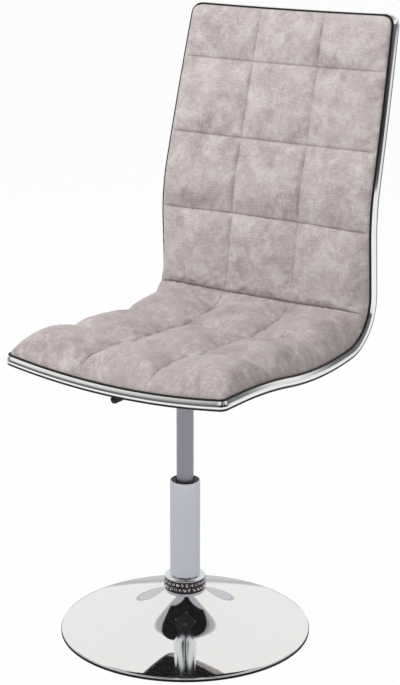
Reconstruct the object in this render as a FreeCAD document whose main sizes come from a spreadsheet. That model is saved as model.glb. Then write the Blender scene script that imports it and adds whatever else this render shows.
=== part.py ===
import FreeCAD, Part
import math
import os
import Sketcher

# Swivel dining chair: a quilted, dished seat shell with a chrome edge trim, carried by a
# gas column that turns and slides in a chromed tube on a round trumpet base.
# Frame: millimetres, +Z up, origin on the floor under the column's axis, the sitter faces -Y.

Vector = FreeCAD.Vector
doc = FreeCAD.newDocument("swivel_dining_chair")

# Driving dimensions: name, number, what it measures (millimetres, or degrees where it says so)
SIZES = [
    ("disc_radius", 208, "outer radius of the round base"),
    ("disc_rim_height", 6.5, "height of the base's rim above the floor"),
    ("disc_wall", 2, "sheet thickness of the spun base"),
    ("shoulder_radius", 118, "radius where the crowned brim turns into the neck"),
    ("shoulder_height", 24.8, "height of that turn above the floor"),
    ("neck_radius", 33, "outer radius of the neck at its top"),
    ("neck_height", 70.5, "height of the neck's top above the floor"),
    ("neck_curve", 150, "radius of the neck's hollow curve"),
    ("brim_curve", 1316, "radius of the brim's crown from the rim to that turn"),
    ("edge_ring_height", 3, "height of the ring that the base stands on"),
    ("edge_ring_width", 9, "width of that ring"),
    ("weight_radius", 172, "radius of the weight plate under the base"),
    ("weight_thickness", 5, "thickness of the weight plate"),
    ("weight_lift", 1.2, "gap between the weight plate and the floor"),
    ("tube_radius", 25, "outer radius of the column tube"),
    ("tube_wall", 1.5, "wall of the column tube"),
    ("tube_top", 264, "height of the column tube's top"),
    ("tube_floor_height", 16, "underside of the plate that closes the tube"),
    ("tube_floor_thickness", 4, "thickness of that plate"),
    ("washer_thickness", 1.5, "thickness of the bearing washers"),
    ("washer_radius", 17, "outer radius of the bearing washers"),
    ("roller_radius", 2, "radius of the bearing rollers"),
    ("roller_length", 5, "length of the bearing rollers"),
    ("roller_circle", 11, "radius of the circle through the rollers' middles"),
    ("cage_thickness", 1.6, "thickness of the roller cage"),
    ("cage_margin", 1.5, "how far the cage reaches past the rollers' ends"),
    ("collar_height", 26.5, "height of the collar on the neck"),
    ("collar_lip", 3.4, "height of the collar's lips"),
    ("collar_radius", 35.5, "outer radius of the collar's lower lip"),
    ("crown_radius", 28.5, "outer radius of the collar's flat top round the tube"),
    ("rows_apart", 8.6, "height between the middles of the two rows of stones"),
    ("band_radius", 33, "radius of the band that carries the stones"),
    ("stone_radius", 3.4, "radius of a stone across its corners"),
    ("stone_height", 2.2, "how far a stone stands out of the band"),
    ("stone_table", 1.9, "radius of a stone's flat top"),
    ("bush_length", 60, "length of the guide bush"),
    ("bush_recess", 0.8, "how far the bush lies below the tube's top"),
    ("bush_funnel", 3, "depth of the funnel in the bush's top"),
    ("bush_funnel_radius", 17, "radius of the funnel's mouth"),
    ("rod_radius", 5, "radius of the piston rod"),
    ("rod_foot_radius", 4, "radius of the rod's foot below its shoulder"),
    ("rod_foot_end", 9, "height of the rod's lower end"),
    ("clip_thickness", 1.2, "thickness of the retaining clip"),
    ("clip_radius", 8, "outer radius of the retaining clip"),
    ("clip_groove", 0.8, "depth of the rod's groove for the clip"),
    ("clip_mouth", 5, "width of the retaining clip's mouth"),
    ("buffer_height", 12, "height of the rubber buffer"),
    ("buffer_radius", 12, "outer radius of the rubber buffer"),
    ("cylinder_radius", 14, "outer radius of the gas cylinder"),
    ("cylinder_wall", 1.5, "wall of the gas cylinder"),
    ("cylinder_bottom", 180, "height of the cylinder's lower end, raised"),
    ("cylinder_top", 428, "height of the cylinder's upper end, raised"),
    ("taper_length", 40, "length of the cylinder's tapered end"),
    ("taper_narrowing", 0.8, "how much narrower the taper's top radius is"),
    ("cylinder_head", 44, "length of the solid head above the bore"),
    ("gland_length", 10, "length of the gland at the cylinder's lower end"),
    ("piston_height", 14, "height of the piston"),
    ("piston_rest_gap", 5, "gap between piston and gland when raised"),
    ("seal_height", 3, "height of the piston's seal ring"),
    ("seal_depth", 1.6, "depth of the seal's groove"),
    ("release_radius", 3, "radius of the release pin"),
    ("release_height", 5, "how far the release pin stands out of the cylinder"),
    ("release_length", 34, "whole length of the release pin"),
    ("release_dome", 1.2, "height of the release pin's rounded top"),
    ("hub_lift", 8, "how far the hub starts above the foot of the taper"),
    ("hub_length", 30, "length of the tapered hub"),
    ("hub_wall", 4.5, "wall of the tapered hub"),
    ("front_reach", 196, "how far the front rim lies in front of the column's axis"),
    ("front_edge_height", 489, "height of the side rim at the front"),
    ("hump_reach", 82, "front turning point of the side line, in front of the axis"),
    ("hump_height", 491, "height of that point"),
    ("hump_curve", 850, "radius of the side line there"),
    ("hollow_reach", 73, "lowest turning point of the side line, behind the axis"),
    ("hollow_height", 469, "height of that point"),
    ("hollow_curve", 600, "radius of the side line there"),
    ("bend_reach", 232, "turning point between seat and back, behind the axis"),
    ("bend_height", 493, "height of that point"),
    ("bend_curve", 75, "radius between seat and back"),
    ("lumbar_reach", 222, "turning point of the lower back, behind the axis"),
    ("lumbar_height", 692, "height of that point"),
    ("lumbar_curve", 345, "radius of the side line there"),
    ("back_top_reach", 299, "top end of the side line, behind the axis"),
    ("back_top_height", 1010, "height of that end"),
    ("half_width", 212, "half the width between the side rims at the seat"),
    ("half_width_top", 199, "half that width at the top of the back"),
    ("taper_start", 500, "length of the tapered part of the back, from its top"),
    ("top_corner", 20, "radius of the back's upper corners"),
    ("front_corner", 9, "radius of the seat's front corners"),
    ("dish", 16, "how deep the shell is hollowed across its width"),
    ("chord_sag", 0.15, "how far a straight stretch may leave the side line's arcs"),
    ("shell_thickness", 10, "thickness of the moulded plywood shell"),
    ("rim_height", 12, "height of the chrome edge trim"),
    ("rim_width", 7, "width of the chrome edge trim"),
    ("rim_overhang", 2, "how far the trim stands out past the piping"),
    ("piping_size", 3.8, "thickness of the black piping"),
    ("cover_thickness", 3.4, "thickness of the back's rear cover"),
    ("underside_thickness", 5.4, "thickness of the seat's underside cover"),
    ("cover_split", 372, "length along the side line where the two covers meet"),
    ("front_row", 130, "length of the seat's front row of quilting"),
    ("middle_row", 150, "length of the seat's middle row"),
    ("rear_row", 152, "length of the seat's rear row"),
    ("back_row_1", 139, "length of the back's lowest row"),
    ("back_row_2", 131, "length of the next row up"),
    ("back_row_3", 130, "length of the third row up"),
    ("column_width", 136, "width of the middle column of quilting at the seat"),
    ("pad_edge", 3, "height of a pad's edge beside the piping"),
    ("pad_front_seam", 27, "pad height at the seam behind the front row"),
    ("pad_middle_seam", 36, "pad height at the seam behind the middle row"),
    ("pad_bend_seam", 33, "pad height at the seam between seat and back"),
    ("pad_back_seam_1", 9, "pad height at the back's lowest seam"),
    ("pad_back_seam_2", 6, "pad height at the back's middle seam"),
    ("pad_back_seam_3", 5, "pad height at the back's top seam"),
    ("seat_puff", 12, "how far a seat field rises over its seams"),
    ("back_puff", 8, "how far a back field rises over its seams"),
    ("seam_softness", 3, "how far a lengthwise seam rises between crossings"),
    ("tray_width", 172, "width of the mounting tray's flange"),
    ("tray_length", 150, "length of the mounting tray's flange"),
    ("tray_corner", 14, "corner radius of that flange"),
    ("tray_sheet", 2.5, "sheet thickness of the mounting tray"),
    ("tray_box_width", 104, "width of the tray's pressed box"),
    ("tray_box_length", 92, "length of the tray's pressed box"),
    ("tray_box_depth", 30, "depth of the pressed box"),
    ("tray_box_corner", 10, "corner radius of the pressed box"),
    ("bolt_pitch_across", 140, "distance between the mounting bolts across the seat"),
    ("bolt_pitch_along", 120, "distance between the mounting bolts along the seat"),
    ("bolt_radius", 3, "radius of the bolt's shank"),
    ("bolt_head_radius", 5.2, "radius of the bolt's head"),
    ("bolt_head_height", 4, "height of the bolt's head"),
    ("spacer_radius", 8, "radius of the spacers on the bolts"),
    ("nut_barrel_radius", 4, "radius of a tee nut's barrel"),
    ("nut_flange_half", 8, "half the width of a tee nut's square flange"),
    ("nut_flange_thickness", 1.4, "thickness of a tee nut's flange"),
    ("nut_length", 7, "length of a tee nut"),
    ("nut_sink", 1.2, "how far a tee nut's flange lies below the shell's surface"),
    ("lever_radius", 4, "radius of the lever's rod"),
    ("lever_heading", 206.6, "direction of the lever seen from above, in degrees from +X"),
    ("lever_pivot", 26, "distance from the release pin to the lever's pivot"),
    ("lever_overrun", 5, "how far the lever reaches past the release pin"),
    ("lever_straight", 40, "distance from the release pin to the lever's bend"),
    ("lever_reach", 118, "distance from the release pin to the lever's tip"),
    ("lever_drop", 42, "how far the lever's tip lies below its straight part"),
    ("lever_bend", 22, "radius of the lever's bend"),
    ("grip_radius", 7, "radius of the lever's grip"),
    ("grip_length", 34, "length of the lever's grip"),
    ("grip_taper", 4, "length of the grip's tapered end"),
    ("pivot_radius", 2, "radius of the lever's pivot pin"),
    ("bracket_sheet", 2.5, "sheet thickness of the lever's bracket"),
    ("bracket_length", 14, "length of the lever's bracket"),
    ("fit_gap", 0.05, "radial clearance of a shaft in its hole"),
    ("seat_gap", 0.3, "clearance between pieces that lie on each other"),
]
STONES_PER_ROW = 26
STONE_SIDES = 6
ROLLER_COUNT = 8
HEAD_SIDES = 6
NECK_STEPS = 4
BRIM_STEPS = 3           # straight steps of the brim's crown

sheet = doc.addObject("Spreadsheet::Sheet", "Sizes")
for row, (alias, number, note) in enumerate(SIZES, start=1):
    sheet.set("A%d" % row, note)
    sheet.set("B%d" % row, str(number))
    sheet.setAlias("B%d" % row, alias)
doc.recompute()


class Size:
    """A number together with the sheet expression that gives it, so both are written once."""

    def __init__(self, number, text):
        self.number = number
        self.text = text

    def __float__(self):
        return float(self.number)

    def __add__(self, other):
        other = as_size(other)
        return Size(self.number + other.number, "(%s + %s)" % (self.text, other.text))

    def __sub__(self, other):
        other = as_size(other)
        return Size(self.number - other.number, "(%s - %s)" % (self.text, other.text))

    def __mul__(self, other):
        other = as_size(other)
        return Size(self.number * other.number, "(%s * %s)" % (self.text, other.text))

    def __truediv__(self, other):
        other = as_size(other)
        return Size(self.number / other.number, "(%s / %s)" % (self.text, other.text))

    def __neg__(self):
        return Size(-self.number, "(0 - %s)" % self.text)

    def __radd__(self, other):
        return as_size(other) + self

    def __rmul__(self, other):
        return as_size(other) * self

    def __rsub__(self, other):
        return as_size(other) - self


def as_size(value):
    """Take a plain number as a size that no cell drives."""
    return value if isinstance(value, Size) else Size(float(value), repr(float(value)))


def cell(alias):
    """The size that a cell of the sheet drives."""
    return Size(float(getattr(sheet, alias)), "Sizes." + alias)


def mm(alias):
    """A cell's plain number."""
    return float(getattr(sheet, alias))


def bind(thing, path, size):
    """Set a property from a size and keep it tied to the sheet."""
    thing.setExpression(path, as_size(size).text)


nodes = []


def keep(thing, label):
    """Name a finished piece and put it on the list of pieces to write out."""
    thing.Label = label
    nodes.append(thing)
    return thing


def keep_shape(label, shape):
    """A piece whose shape is worked out below from the sheet's sizes."""
    feature = doc.addObject("Part::Feature", label + "_shape")
    feature.Shape = shape
    return keep(feature, label)


def start_body(label):
    """An empty body for one piece."""
    return doc.addObject("PartDesign::Body", label + "_body")


def start_sketch(body, name, role):
    """A sketch on one of the body's own origin planes."""
    sketch = body.newObject("Sketcher::SketchObject", name)
    planes = [plane for plane in body.Origin.OriginFeatures if plane.Role == role]
    sketch.AttachmentSupport = [(planes[0], "")]
    sketch.MapMode = "FlatFace"
    return sketch


def tie_point(sketch, piece, end, across, up):
    """Fix one end of a drawn line at the given place, from the sheet."""
    for kind, axis, place in (("DistanceX", -2, across), ("DistanceY", -1, up)):
        place = as_size(place)
        if place.number == 0:
            sketch.addConstraint(Sketcher.Constraint("PointOnObject", piece, end, axis))
            continue
        index = sketch.addConstraint(Sketcher.Constraint(kind, -1, 1, piece, end, place.number))
        bind(sketch, "Constraints[%d]" % index, place)


def arc_between(start, end, radius):
    """An arc from start to end: to the left of the way there for a radius above 0."""
    half = (end - start) * 0.5
    rise = math.sqrt(radius * radius - half.Length * half.Length)
    side = Vector(-half.y, half.x, 0).normalize() * math.copysign(rise, radius)
    centre = start + half + side
    first, last = (start, end) if radius > 0 else (end, start)
    angles = [math.atan2(p.y - centre.y, p.x - centre.x) for p in (first, last)]
    circle = Part.Circle(centre, Vector(0, 0, 1), abs(radius))
    return Part.ArcOfCircle(circle, angles[0], angles[1])


def draw_outline(sketch, corners):
    """A closed outline. A corner is (across, up) or (across, up, radius of the arc to the next)."""
    count = len(corners)
    points = [Vector(float(as_size(c[0])), float(as_size(c[1])), 0) for c in corners]
    ends = []
    for index, corner in enumerate(corners):
        start, end = points[index], points[(index + 1) % count]
        if len(corner) == 2:
            sketch.addGeometry(Part.LineSegment(start, end), False)
            ends.append((1, 2))
            continue
        radius = as_size(corner[2])
        sketch.addGeometry(arc_between(start, end, radius.number), False)
        ends.append((1, 2) if radius.number > 0 else (2, 1))
    for index in range(count):
        after = (index + 1) % count
        sketch.addConstraint(
            Sketcher.Constraint("Coincident", index, ends[index][1], after, ends[after][0]))
    for index, corner in enumerate(corners):
        tie_point(sketch, index, ends[index][0], corner[0], corner[1])
        if len(corner) == 3:
            radius = as_size(corner[2])
            radius = radius if radius.number > 0 else -radius
            number = sketch.addConstraint(Sketcher.Constraint("Radius", index, radius.number))
            bind(sketch, "Constraints[%d]" % number, radius)


def arc_corners(start, end, radius, steps):
    """Corners along an arc between two corners, for a hidden side that needs no true arc."""
    ends = [Vector(float(as_size(c[0])), float(as_size(c[1])), 0) for c in (start, end)]
    spots = arc_between(ends[0], ends[1], float(as_size(radius))).toShape().discretize(steps + 1)
    if (spots[0] - ends[0]).Length > (spots[-1] - ends[0]).Length:
        spots.reverse()
    return [(spot.x, spot.y) for spot in spots[1:-1]]


def draw_circle(sketch, across, up, radius):
    """A circle in a sketch, tied to the sheet."""
    centre = Vector(float(as_size(across)), float(as_size(up)), 0)
    index = sketch.addGeometry(Part.Circle(centre, Vector(0, 0, 1), float(as_size(radius))), False)
    tie_point(sketch, index, 3, across, up)
    number = sketch.addConstraint(Sketcher.Constraint("Radius", index, float(as_size(radius))))
    bind(sketch, "Constraints[%d]" % number, radius)


def turned(label, corners):
    """A turned or spun piece: an outline of (radius, height) corners revolved about Z."""
    body = start_body(label)
    sketch = start_sketch(body, label + "_outline", "XZ_Plane")
    draw_outline(sketch, corners)
    turn = body.newObject("PartDesign::Revolution", label + "_turn")
    turn.Profile = sketch
    turn.ReferenceAxis = (sketch, ["V_Axis"])
    turn.Angle = 360
    return keep(body, label)


def ring(label, inner, outer, bottom, height):
    """A plain ring about the column's axis."""
    tools = []
    for name, radius in (("_outer", outer), ("_inner", inner)):
        disc = doc.addObject("Part::Cylinder", label + name)
        bind(disc, "Radius", radius)
        bind(disc, "Height", height)
        bind(disc, "Placement.Base.z", bottom)
        tools.append(disc)
    cut = doc.addObject("Part::Cut", label + "_ring")
    cut.Base, cut.Tool = tools
    return keep(cut, label)


# Spun base, its standing ring and its weight plate

fit_gap = cell("fit_gap")
seat_gap = cell("seat_gap")
wall = cell("disc_wall")
disc_radius = cell("disc_radius")
rim_height = cell("disc_rim_height")
ring_height = cell("edge_ring_height")
neck_inner = (cell("neck_radius") - wall, cell("neck_height"))
shoulder_inner = (cell("shoulder_radius"), cell("shoulder_height") - wall)
shoulder_outer = (cell("shoulder_radius"), cell("shoulder_height"))
rim_outer = (disc_radius, rim_height)
rim_inner = (disc_radius - wall, rim_height - wall)
brim_top = arc_corners(rim_outer, shoulder_outer, cell("brim_curve"), BRIM_STEPS)
hidden_neck = arc_corners(neck_inner, shoulder_inner, cell("neck_curve") + wall, NECK_STEPS)
hidden_brim = arc_corners(shoulder_inner, rim_inner, -cell("brim_curve") + wall, BRIM_STEPS)
turned("base_disc", [
    (disc_radius, ring_height),
    rim_outer,
] + brim_top + [
    shoulder_outer + (-cell("neck_curve"),),
    (cell("neck_radius"), cell("neck_height")),
    neck_inner,
] + hidden_neck + [
    shoulder_inner,
] + hidden_brim + [
    rim_inner,
    (disc_radius - wall, ring_height),
])
ring("base_edge_ring", disc_radius - cell("edge_ring_width"), disc_radius - wall / 4,
     as_size(0), ring_height)
tube_radius = cell("tube_radius")
ring("base_weight_plate", tube_radius + fit_gap, cell("weight_radius"),
     cell("weight_lift"), cell("weight_thickness"))

# Column tube with its floor, bearing and guide bush

tube_inner = tube_radius - cell("tube_wall")
ring("column_tube", tube_inner, tube_radius, cell("weight_lift"),
     cell("tube_top") - cell("weight_lift"))
floor_bottom = cell("tube_floor_height")
floor_top = floor_bottom + cell("tube_floor_thickness")
foot_hole = cell("rod_foot_radius") + fit_gap
ring("tube_floor_plate", foot_hole, tube_inner - fit_gap, floor_bottom, cell("tube_floor_thickness"))
washer = cell("washer_thickness")
ring("bearing_lower_washer", foot_hole, cell("washer_radius"), floor_top, washer)
roller_bottom = floor_top + washer
roller_top = roller_bottom + 2 * cell("roller_radius") + fit_gap
roller_middle = float(roller_bottom) + mm("roller_radius")
ring("bearing_upper_washer", foot_hole, cell("washer_radius"), roller_top, washer)


def round_the_bearing(shape):
    """Copies of a shape that lies along +X, one for each roller."""
    copies = []
    for index in range(ROLLER_COUNT):
        copy = shape.copy()
        copy.rotate(Vector(0, 0, 0), Vector(0, 0, 1), 360.0 * index / ROLLER_COUNT)
        copies.append(copy)
    return copies


roller_start = mm("roller_circle") - mm("roller_length") / 2
roller = Part.makeCylinder(mm("roller_radius"), mm("roller_length"),
                           Vector(roller_start, 0, roller_middle), Vector(1, 0, 0))
keep_shape("bearing_rollers", Part.makeCompound(round_the_bearing(roller)))
cage_bottom = Vector(0, 0, roller_middle - mm("cage_thickness") / 2)
cage = Part.makeCylinder(mm("roller_circle") + mm("roller_length") / 2 + mm("cage_margin"),
                         mm("cage_thickness"), cage_bottom)
cage = cage.cut(Part.makeCylinder(roller_start - mm("cage_margin"), mm("cage_thickness"), cage_bottom))
window_half = mm("roller_radius") + mm("fit_gap")
window = Part.makeBox(mm("roller_length") + 2 * mm("fit_gap"), 2 * window_half, mm("cage_thickness"),
                      Vector(roller_start - mm("fit_gap"), -window_half, cage_bottom.z))
for opening in round_the_bearing(window):
    cage = cage.cut(opening)
keep_shape("bearing_cage", cage)

bush_top = cell("tube_top") - cell("bush_recess")
bush_bore = cell("cylinder_radius") + fit_gap
turned("guide_bush", [
    (bush_bore, bush_top - cell("bush_length")),
    (tube_inner - fit_gap, bush_top - cell("bush_length")),
    (tube_inner - fit_gap, bush_top),
    (cell("bush_funnel_radius"), bush_top),
    (bush_bore, bush_top - cell("bush_funnel")),
])

# Collar on the neck with its two rows of stones

collar_bottom = cell("neck_height")
collar_top = collar_bottom + cell("collar_height")
lip = cell("collar_lip")
band = cell("band_radius")
upper_lip = cell("collar_radius") - lip / 2
turned("neck_collar", [
    (tube_radius + fit_gap, collar_bottom),
    (cell("collar_radius"), collar_bottom),
    (cell("collar_radius"), collar_bottom + lip),
    (band, collar_bottom + lip),
    (band, collar_top - lip),
    (upper_lip, collar_top - lip),
    (upper_lip, collar_top - lip / 2),
    (cell("crown_radius"), collar_top),
    (tube_radius + fit_gap, collar_top),
])


def many_sided(radius, height, sides):
    """The corners of a regular polygon about Z, the first one repeated at the end."""
    turns = [2 * math.pi * side / sides for side in range(sides + 1)]
    return [Vector(radius * math.cos(t), radius * math.sin(t), height) for t in turns]


def faceted_stone():
    """A stone with sloping facets, its foot on the plane Z = 0."""
    low = many_sided(mm("stone_radius"), 0, STONE_SIDES)
    high = many_sided(mm("stone_table"), mm("stone_height"), STONE_SIDES)
    outlines = [low, high]
    for side in range(STONE_SIDES):
        outlines.append([low[side], low[side + 1], high[side + 1], high[side], low[side]])
    return Part.Solid(Part.Shell([Part.Face(Part.makePolygon(corners)) for corners in outlines]))


def stone_row(height, shift):
    """One row of stones round the band."""
    row_stones = []
    for index in range(STONES_PER_ROW):
        turn = 360.0 * (index + shift) / STONES_PER_ROW
        stone = faceted_stone()
        stone.rotate(Vector(0, 0, 0), Vector(0, 1, 0), 90)
        stone.translate(Vector(float(band) + mm("fit_gap"), 0, height))
        stone.rotate(Vector(0, 0, 0), Vector(0, 0, 1), turn)
        row_stones.append(stone)
    return row_stones


band_middle = float(collar_bottom + cell("collar_height") / 2)
row_offset = mm("rows_apart") / 2
stones = stone_row(band_middle - row_offset, 0) + stone_row(band_middle + row_offset, 0.5)
keep_shape("collar_stones", Part.makeCompound(stones))

# Piston rod with its piston, and what turns with them

shoulder = roller_top + washer
rod = cell("rod_radius")
foot = cell("rod_foot_radius")
clip_top = floor_bottom - seat_gap
clip_bottom = clip_top - cell("clip_thickness")
gland_top = cell("cylinder_bottom") + cell("gland_length")
piston_bottom = gland_top + cell("piston_rest_gap")
piston_top = piston_bottom + cell("piston_height")
bore = cell("cylinder_radius") - cell("cylinder_wall")
piston_radius = bore - fit_gap
seal_bottom = piston_bottom + cell("piston_height") / 2 - cell("seal_height") / 2
seal_top = seal_bottom + cell("seal_height")
seal_inner = piston_radius - cell("seal_depth")
groove = foot - cell("clip_groove")
turned("piston_rod", [
    (0, cell("rod_foot_end")),
    (foot, cell("rod_foot_end")),
    (foot, clip_bottom),
    (groove, clip_bottom),
    (groove, clip_top),
    (foot, clip_top),
    (foot, shoulder),
    (rod, shoulder),
    (rod, piston_bottom),
    (piston_radius, piston_bottom),
    (piston_radius, seal_bottom),
    (seal_inner, seal_bottom),
    (seal_inner, seal_top),
    (piston_radius, seal_top),
    (piston_radius, piston_top),
    (0, piston_top),
])
ring("piston_seal", seal_inner + fit_gap / 2, piston_radius, seal_bottom, cell("seal_height"))
ring("bottom_buffer", rod + fit_gap, cell("buffer_radius"), shoulder, cell("buffer_height"))

clip_ring = Part.makeCylinder(mm("clip_radius"), mm("clip_thickness"), Vector(0, 0, float(clip_bottom)))
clip_ring = clip_ring.cut(Part.makeCylinder(float(groove) + mm("fit_gap"), mm("clip_thickness"),
                                            Vector(0, 0, float(clip_bottom))))
clip_mouth = Part.makeBox(mm("clip_radius"), mm("clip_mouth"), mm("clip_thickness"),
                          Vector(0, -mm("clip_mouth") / 2, float(clip_bottom)))
keep_shape("rod_clip", clip_ring.cut(clip_mouth))

# Gas cylinder with its gland and release pin, and the tapered hub that sits on it

cylinder_top = cell("cylinder_top")
taper_bottom = cylinder_top - cell("taper_length")
taper_radius = cell("cylinder_radius") - cell("taper_narrowing")
pin_hole = cell("release_radius") + fit_gap
bore_top = cylinder_top - cell("cylinder_head")
turned("gas_cylinder", [
    (bore, cell("cylinder_bottom")),
    (cell("cylinder_radius"), cell("cylinder_bottom")),
    (cell("cylinder_radius"), taper_bottom),
    (taper_radius, cylinder_top),
    (pin_hole, cylinder_top),
    (pin_hole, bore_top),
    (bore, bore_top),
])
ring("cylinder_gland", rod + fit_gap, bore - fit_gap, cell("cylinder_bottom"), cell("gland_length"))
pin_top = cylinder_top + cell("release_height")
pin_bottom = pin_top - cell("release_length")
turned("release_pin", [
    (0, pin_bottom),
    (cell("release_radius"), pin_bottom),
    (cell("release_radius"), pin_top - cell("release_dome")),
    (cell("release_radius") / 2, pin_top),
    (0, pin_top),
])


def taper_at(height):
    """The cylinder's taper radius at a height, with the hub's clearance."""
    share = (height - taper_bottom) / cell("taper_length")
    return cell("cylinder_radius") - cell("taper_narrowing") * share + fit_gap


hub_bottom = taper_bottom + cell("hub_lift")
hub_top = hub_bottom + cell("hub_length")
turned("seat_hub", [
    (taper_at(hub_bottom), hub_bottom),
    (taper_at(hub_bottom) + cell("hub_wall"), hub_bottom),
    (taper_at(hub_bottom) + cell("hub_wall"), hub_top),
    (taper_at(hub_top), hub_top),
])


class SideLine:
    """The seat's line seen from the side: straight runs joined by tangent arcs.

    A run is (start, heading, length, curve): curve is 0 on a straight run and one over the
    radius on an arc, above 0 where the line turns upwards.
    """

    def __init__(self, corners, radii):
        self.runs = []
        place = corners[0]
        for index, radius in enumerate(radii, start=1):
            before = corners[index] - corners[index - 1]
            after = corners[index + 1] - corners[index]
            heading = math.atan2(before.z, before.y)
            turn = math.atan2(after.z, after.y) - heading
            trim = radius * math.tan(abs(turn) / 2)
            end = corners[index] - before.normalize() * trim
            self.runs.append((place, heading, (end - place).Length, 0.0))
            self.runs.append((end, heading, radius * abs(turn), math.copysign(1 / radius, turn)))
            place = corners[index] + after.normalize() * trim
        last = corners[-1] - place
        self.runs.append((place, math.atan2(last.z, last.y), last.Length, 0.0))
        self.length = sum(run[2] for run in self.runs)

    def at(self, way):
        """The point and heading after a way along the line. Past its ends the line runs straight."""
        for index, (start, heading, length, curve) in enumerate(self.runs):
            if way > length and index < len(self.runs) - 1:
                way -= length
                continue
            return travel(start, heading, way, curve)

    def point(self, way, across, rise):
        """A point beside the line: across the seat, and rise towards the sitter."""
        place, heading = self.at(way)
        return place + Vector(across, -math.sin(heading) * rise, math.cos(heading) * rise)

    def stations(self, first, last):
        """Ways from first to last, so close on the arcs that chords stay within chord_sag."""
        ways = [first]
        passed = 0.0
        for start, heading, length, curve in self.runs:
            pieces = 1
            if curve != 0:
                pieces = math.ceil(length / math.sqrt(8 * mm("chord_sag") / abs(curve)))
            ways += [passed + length * number / pieces for number in range(1, pieces + 1)]
            passed += length
        inner = [way for way in ways[1:-1] if first + CLOSE_WAY < way < last - CLOSE_WAY]
        return [first] + inner + [last]

    def way_at_reach(self, reach):
        """The way along the seat at which the line has this Y."""
        low, high = 0.0, self.length / 2
        for _ in range(50):
            middle = (low + high) / 2
            low, high = (middle, high) if self.at(middle)[0].y < reach else (low, middle)
        return low


def travel(start, heading, way, curve):
    """Where a run leads after a way, and its heading there."""
    if curve == 0:
        return start + Vector(0, math.cos(heading), math.sin(heading)) * way, heading
    turned_by = way * curve
    side = Vector(0, -math.sin(heading), math.cos(heading)) * (1 / curve)
    centre = start + side
    after = heading + turned_by
    return centre - Vector(0, -math.sin(after), math.cos(after)) * (1 / curve), after


side_line = SideLine(
    [
        Vector(0, -mm("front_reach"), mm("front_edge_height")),
        Vector(0, -mm("hump_reach"), mm("hump_height")),
        Vector(0, mm("hollow_reach"), mm("hollow_height")),
        Vector(0, mm("bend_reach"), mm("bend_height")),
        Vector(0, mm("lumbar_reach"), mm("lumbar_height")),
        Vector(0, mm("back_top_reach"), mm("back_top_height")),
    ],
    [mm("hump_curve"), mm("hollow_curve"), mm("bend_curve"), mm("lumbar_curve")],
)
DISH_CURVE = (mm("half_width") ** 2 + mm("dish") ** 2) / (2 * mm("dish"))
BLANK_MARGIN = 20.0
CLOSE_WAY = 0.5


def dish_rise(across, rise):
    """The height of the dished surface that lies this far above the shell's face."""
    curve = DISH_CURVE - rise
    return DISH_CURVE - mm("dish") - math.sqrt(curve * curve - across * across)


def dished_band(low, high, first, last):
    """A long dished sheet between two rises, from one way along the side line to another."""
    reach = mm("half_width") + BLANK_MARGIN
    sections = []
    for way in side_line.stations(first, last):

        def spot(across, rise):
            return side_line.point(way, across, dish_rise(across, rise))

        sections.append(Part.Wire([
            Part.Arc(spot(-reach, high), spot(0, high), spot(reach, high)).toShape(),
            Part.LineSegment(spot(reach, high), spot(reach, low)).toShape(),
            Part.Arc(spot(reach, low), spot(0, low), spot(-reach, low)).toShape(),
            Part.LineSegment(spot(-reach, low), spot(-reach, high)).toShape(),
        ]))
    return Part.makeLoft(sections, True, True)


TOP_POINT, TOP_HEADING = side_line.at(side_line.length)
TOP_ALONG = Vector(0, math.cos(TOP_HEADING), math.sin(TOP_HEADING))
TOP_OUT = Vector(0, -math.sin(TOP_HEADING), math.cos(TOP_HEADING))
NARROWING = mm("half_width") - mm("half_width_top")
TAPER_CURVE = (mm("taper_start") ** 2 + NARROWING ** 2) / (2 * NARROWING)


def half_width_at(way):
    """Half the width between the side rims after a way along the side line."""
    drop = (TOP_POINT - side_line.at(way)[0]).dot(TOP_ALONG)
    past = max(mm("taper_start") - drop, 0)
    return mm("half_width") - TAPER_CURVE + math.sqrt(TAPER_CURVE ** 2 - past ** 2)


def top_outline(grow):
    """The seat's outline seen square to the upper back, grown outwards, as a thick block."""
    wide = mm("half_width") + grow
    narrow = mm("half_width_top") + grow
    corner = mm("top_corner") + grow
    below = 2 * mm("taper_start")

    def spot(across, drop):
        return TOP_POINT + Vector(across, 0, 0) - TOP_ALONG * drop

    turn = corner * (1 - math.sqrt(0.5))
    middle = mm("taper_start") / 2
    bulge = wide - NARROWING / 4
    edges = []
    for side in (1, -1):
        edges.append(Part.LineSegment(spot(side * wide, below), spot(side * wide, mm("taper_start"))))
        edges.append(Part.Arc(spot(side * wide, mm("taper_start")), spot(side * bulge, middle),
                              spot(side * narrow, corner - grow)))
        edges.append(Part.Arc(spot(side * narrow, corner - grow),
                              spot(side * (narrow - turn), turn - grow),
                              spot(side * (narrow - corner), -grow)))
    edges.append(Part.LineSegment(spot(narrow - corner, -grow), spot(corner - narrow, -grow)))
    edges.append(Part.LineSegment(spot(wide, below), spot(-wide, below)))
    outline = Part.Wire(Part.__sortEdges__([edge.toShape() for edge in edges]))
    reach = mm("back_top_height")
    face = Part.Face(outline)
    face.translate(TOP_OUT * -reach)
    return face.extrude(TOP_OUT * 2 * reach)


def plan_outline(grow):
    """The seat's outline seen from above, grown outwards, as a tall block."""
    wide = mm("half_width") + grow
    corner = mm("front_corner") + grow
    front = -mm("front_reach") - grow
    depth = 2 * mm("front_reach") + 2 * mm("back_top_reach")
    block = Part.makeBox(2 * wide, depth, 2 * mm("back_top_height"), Vector(-wide, front, 0))
    upright = [edge for edge in block.Edges
               if abs(edge.Vertexes[0].Point.y - front) < 1e-6
               and abs(edge.Vertexes[1].Point.y - front) < 1e-6
               and abs(edge.Vertexes[0].Point.x - edge.Vertexes[1].Point.x) < 1e-6]
    return block.makeFillet(corner, upright)


def outline_block(grow):
    """A block whose sides are the seat's outline, grown or shrunk."""
    return top_outline(grow).common(plan_outline(grow))


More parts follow.
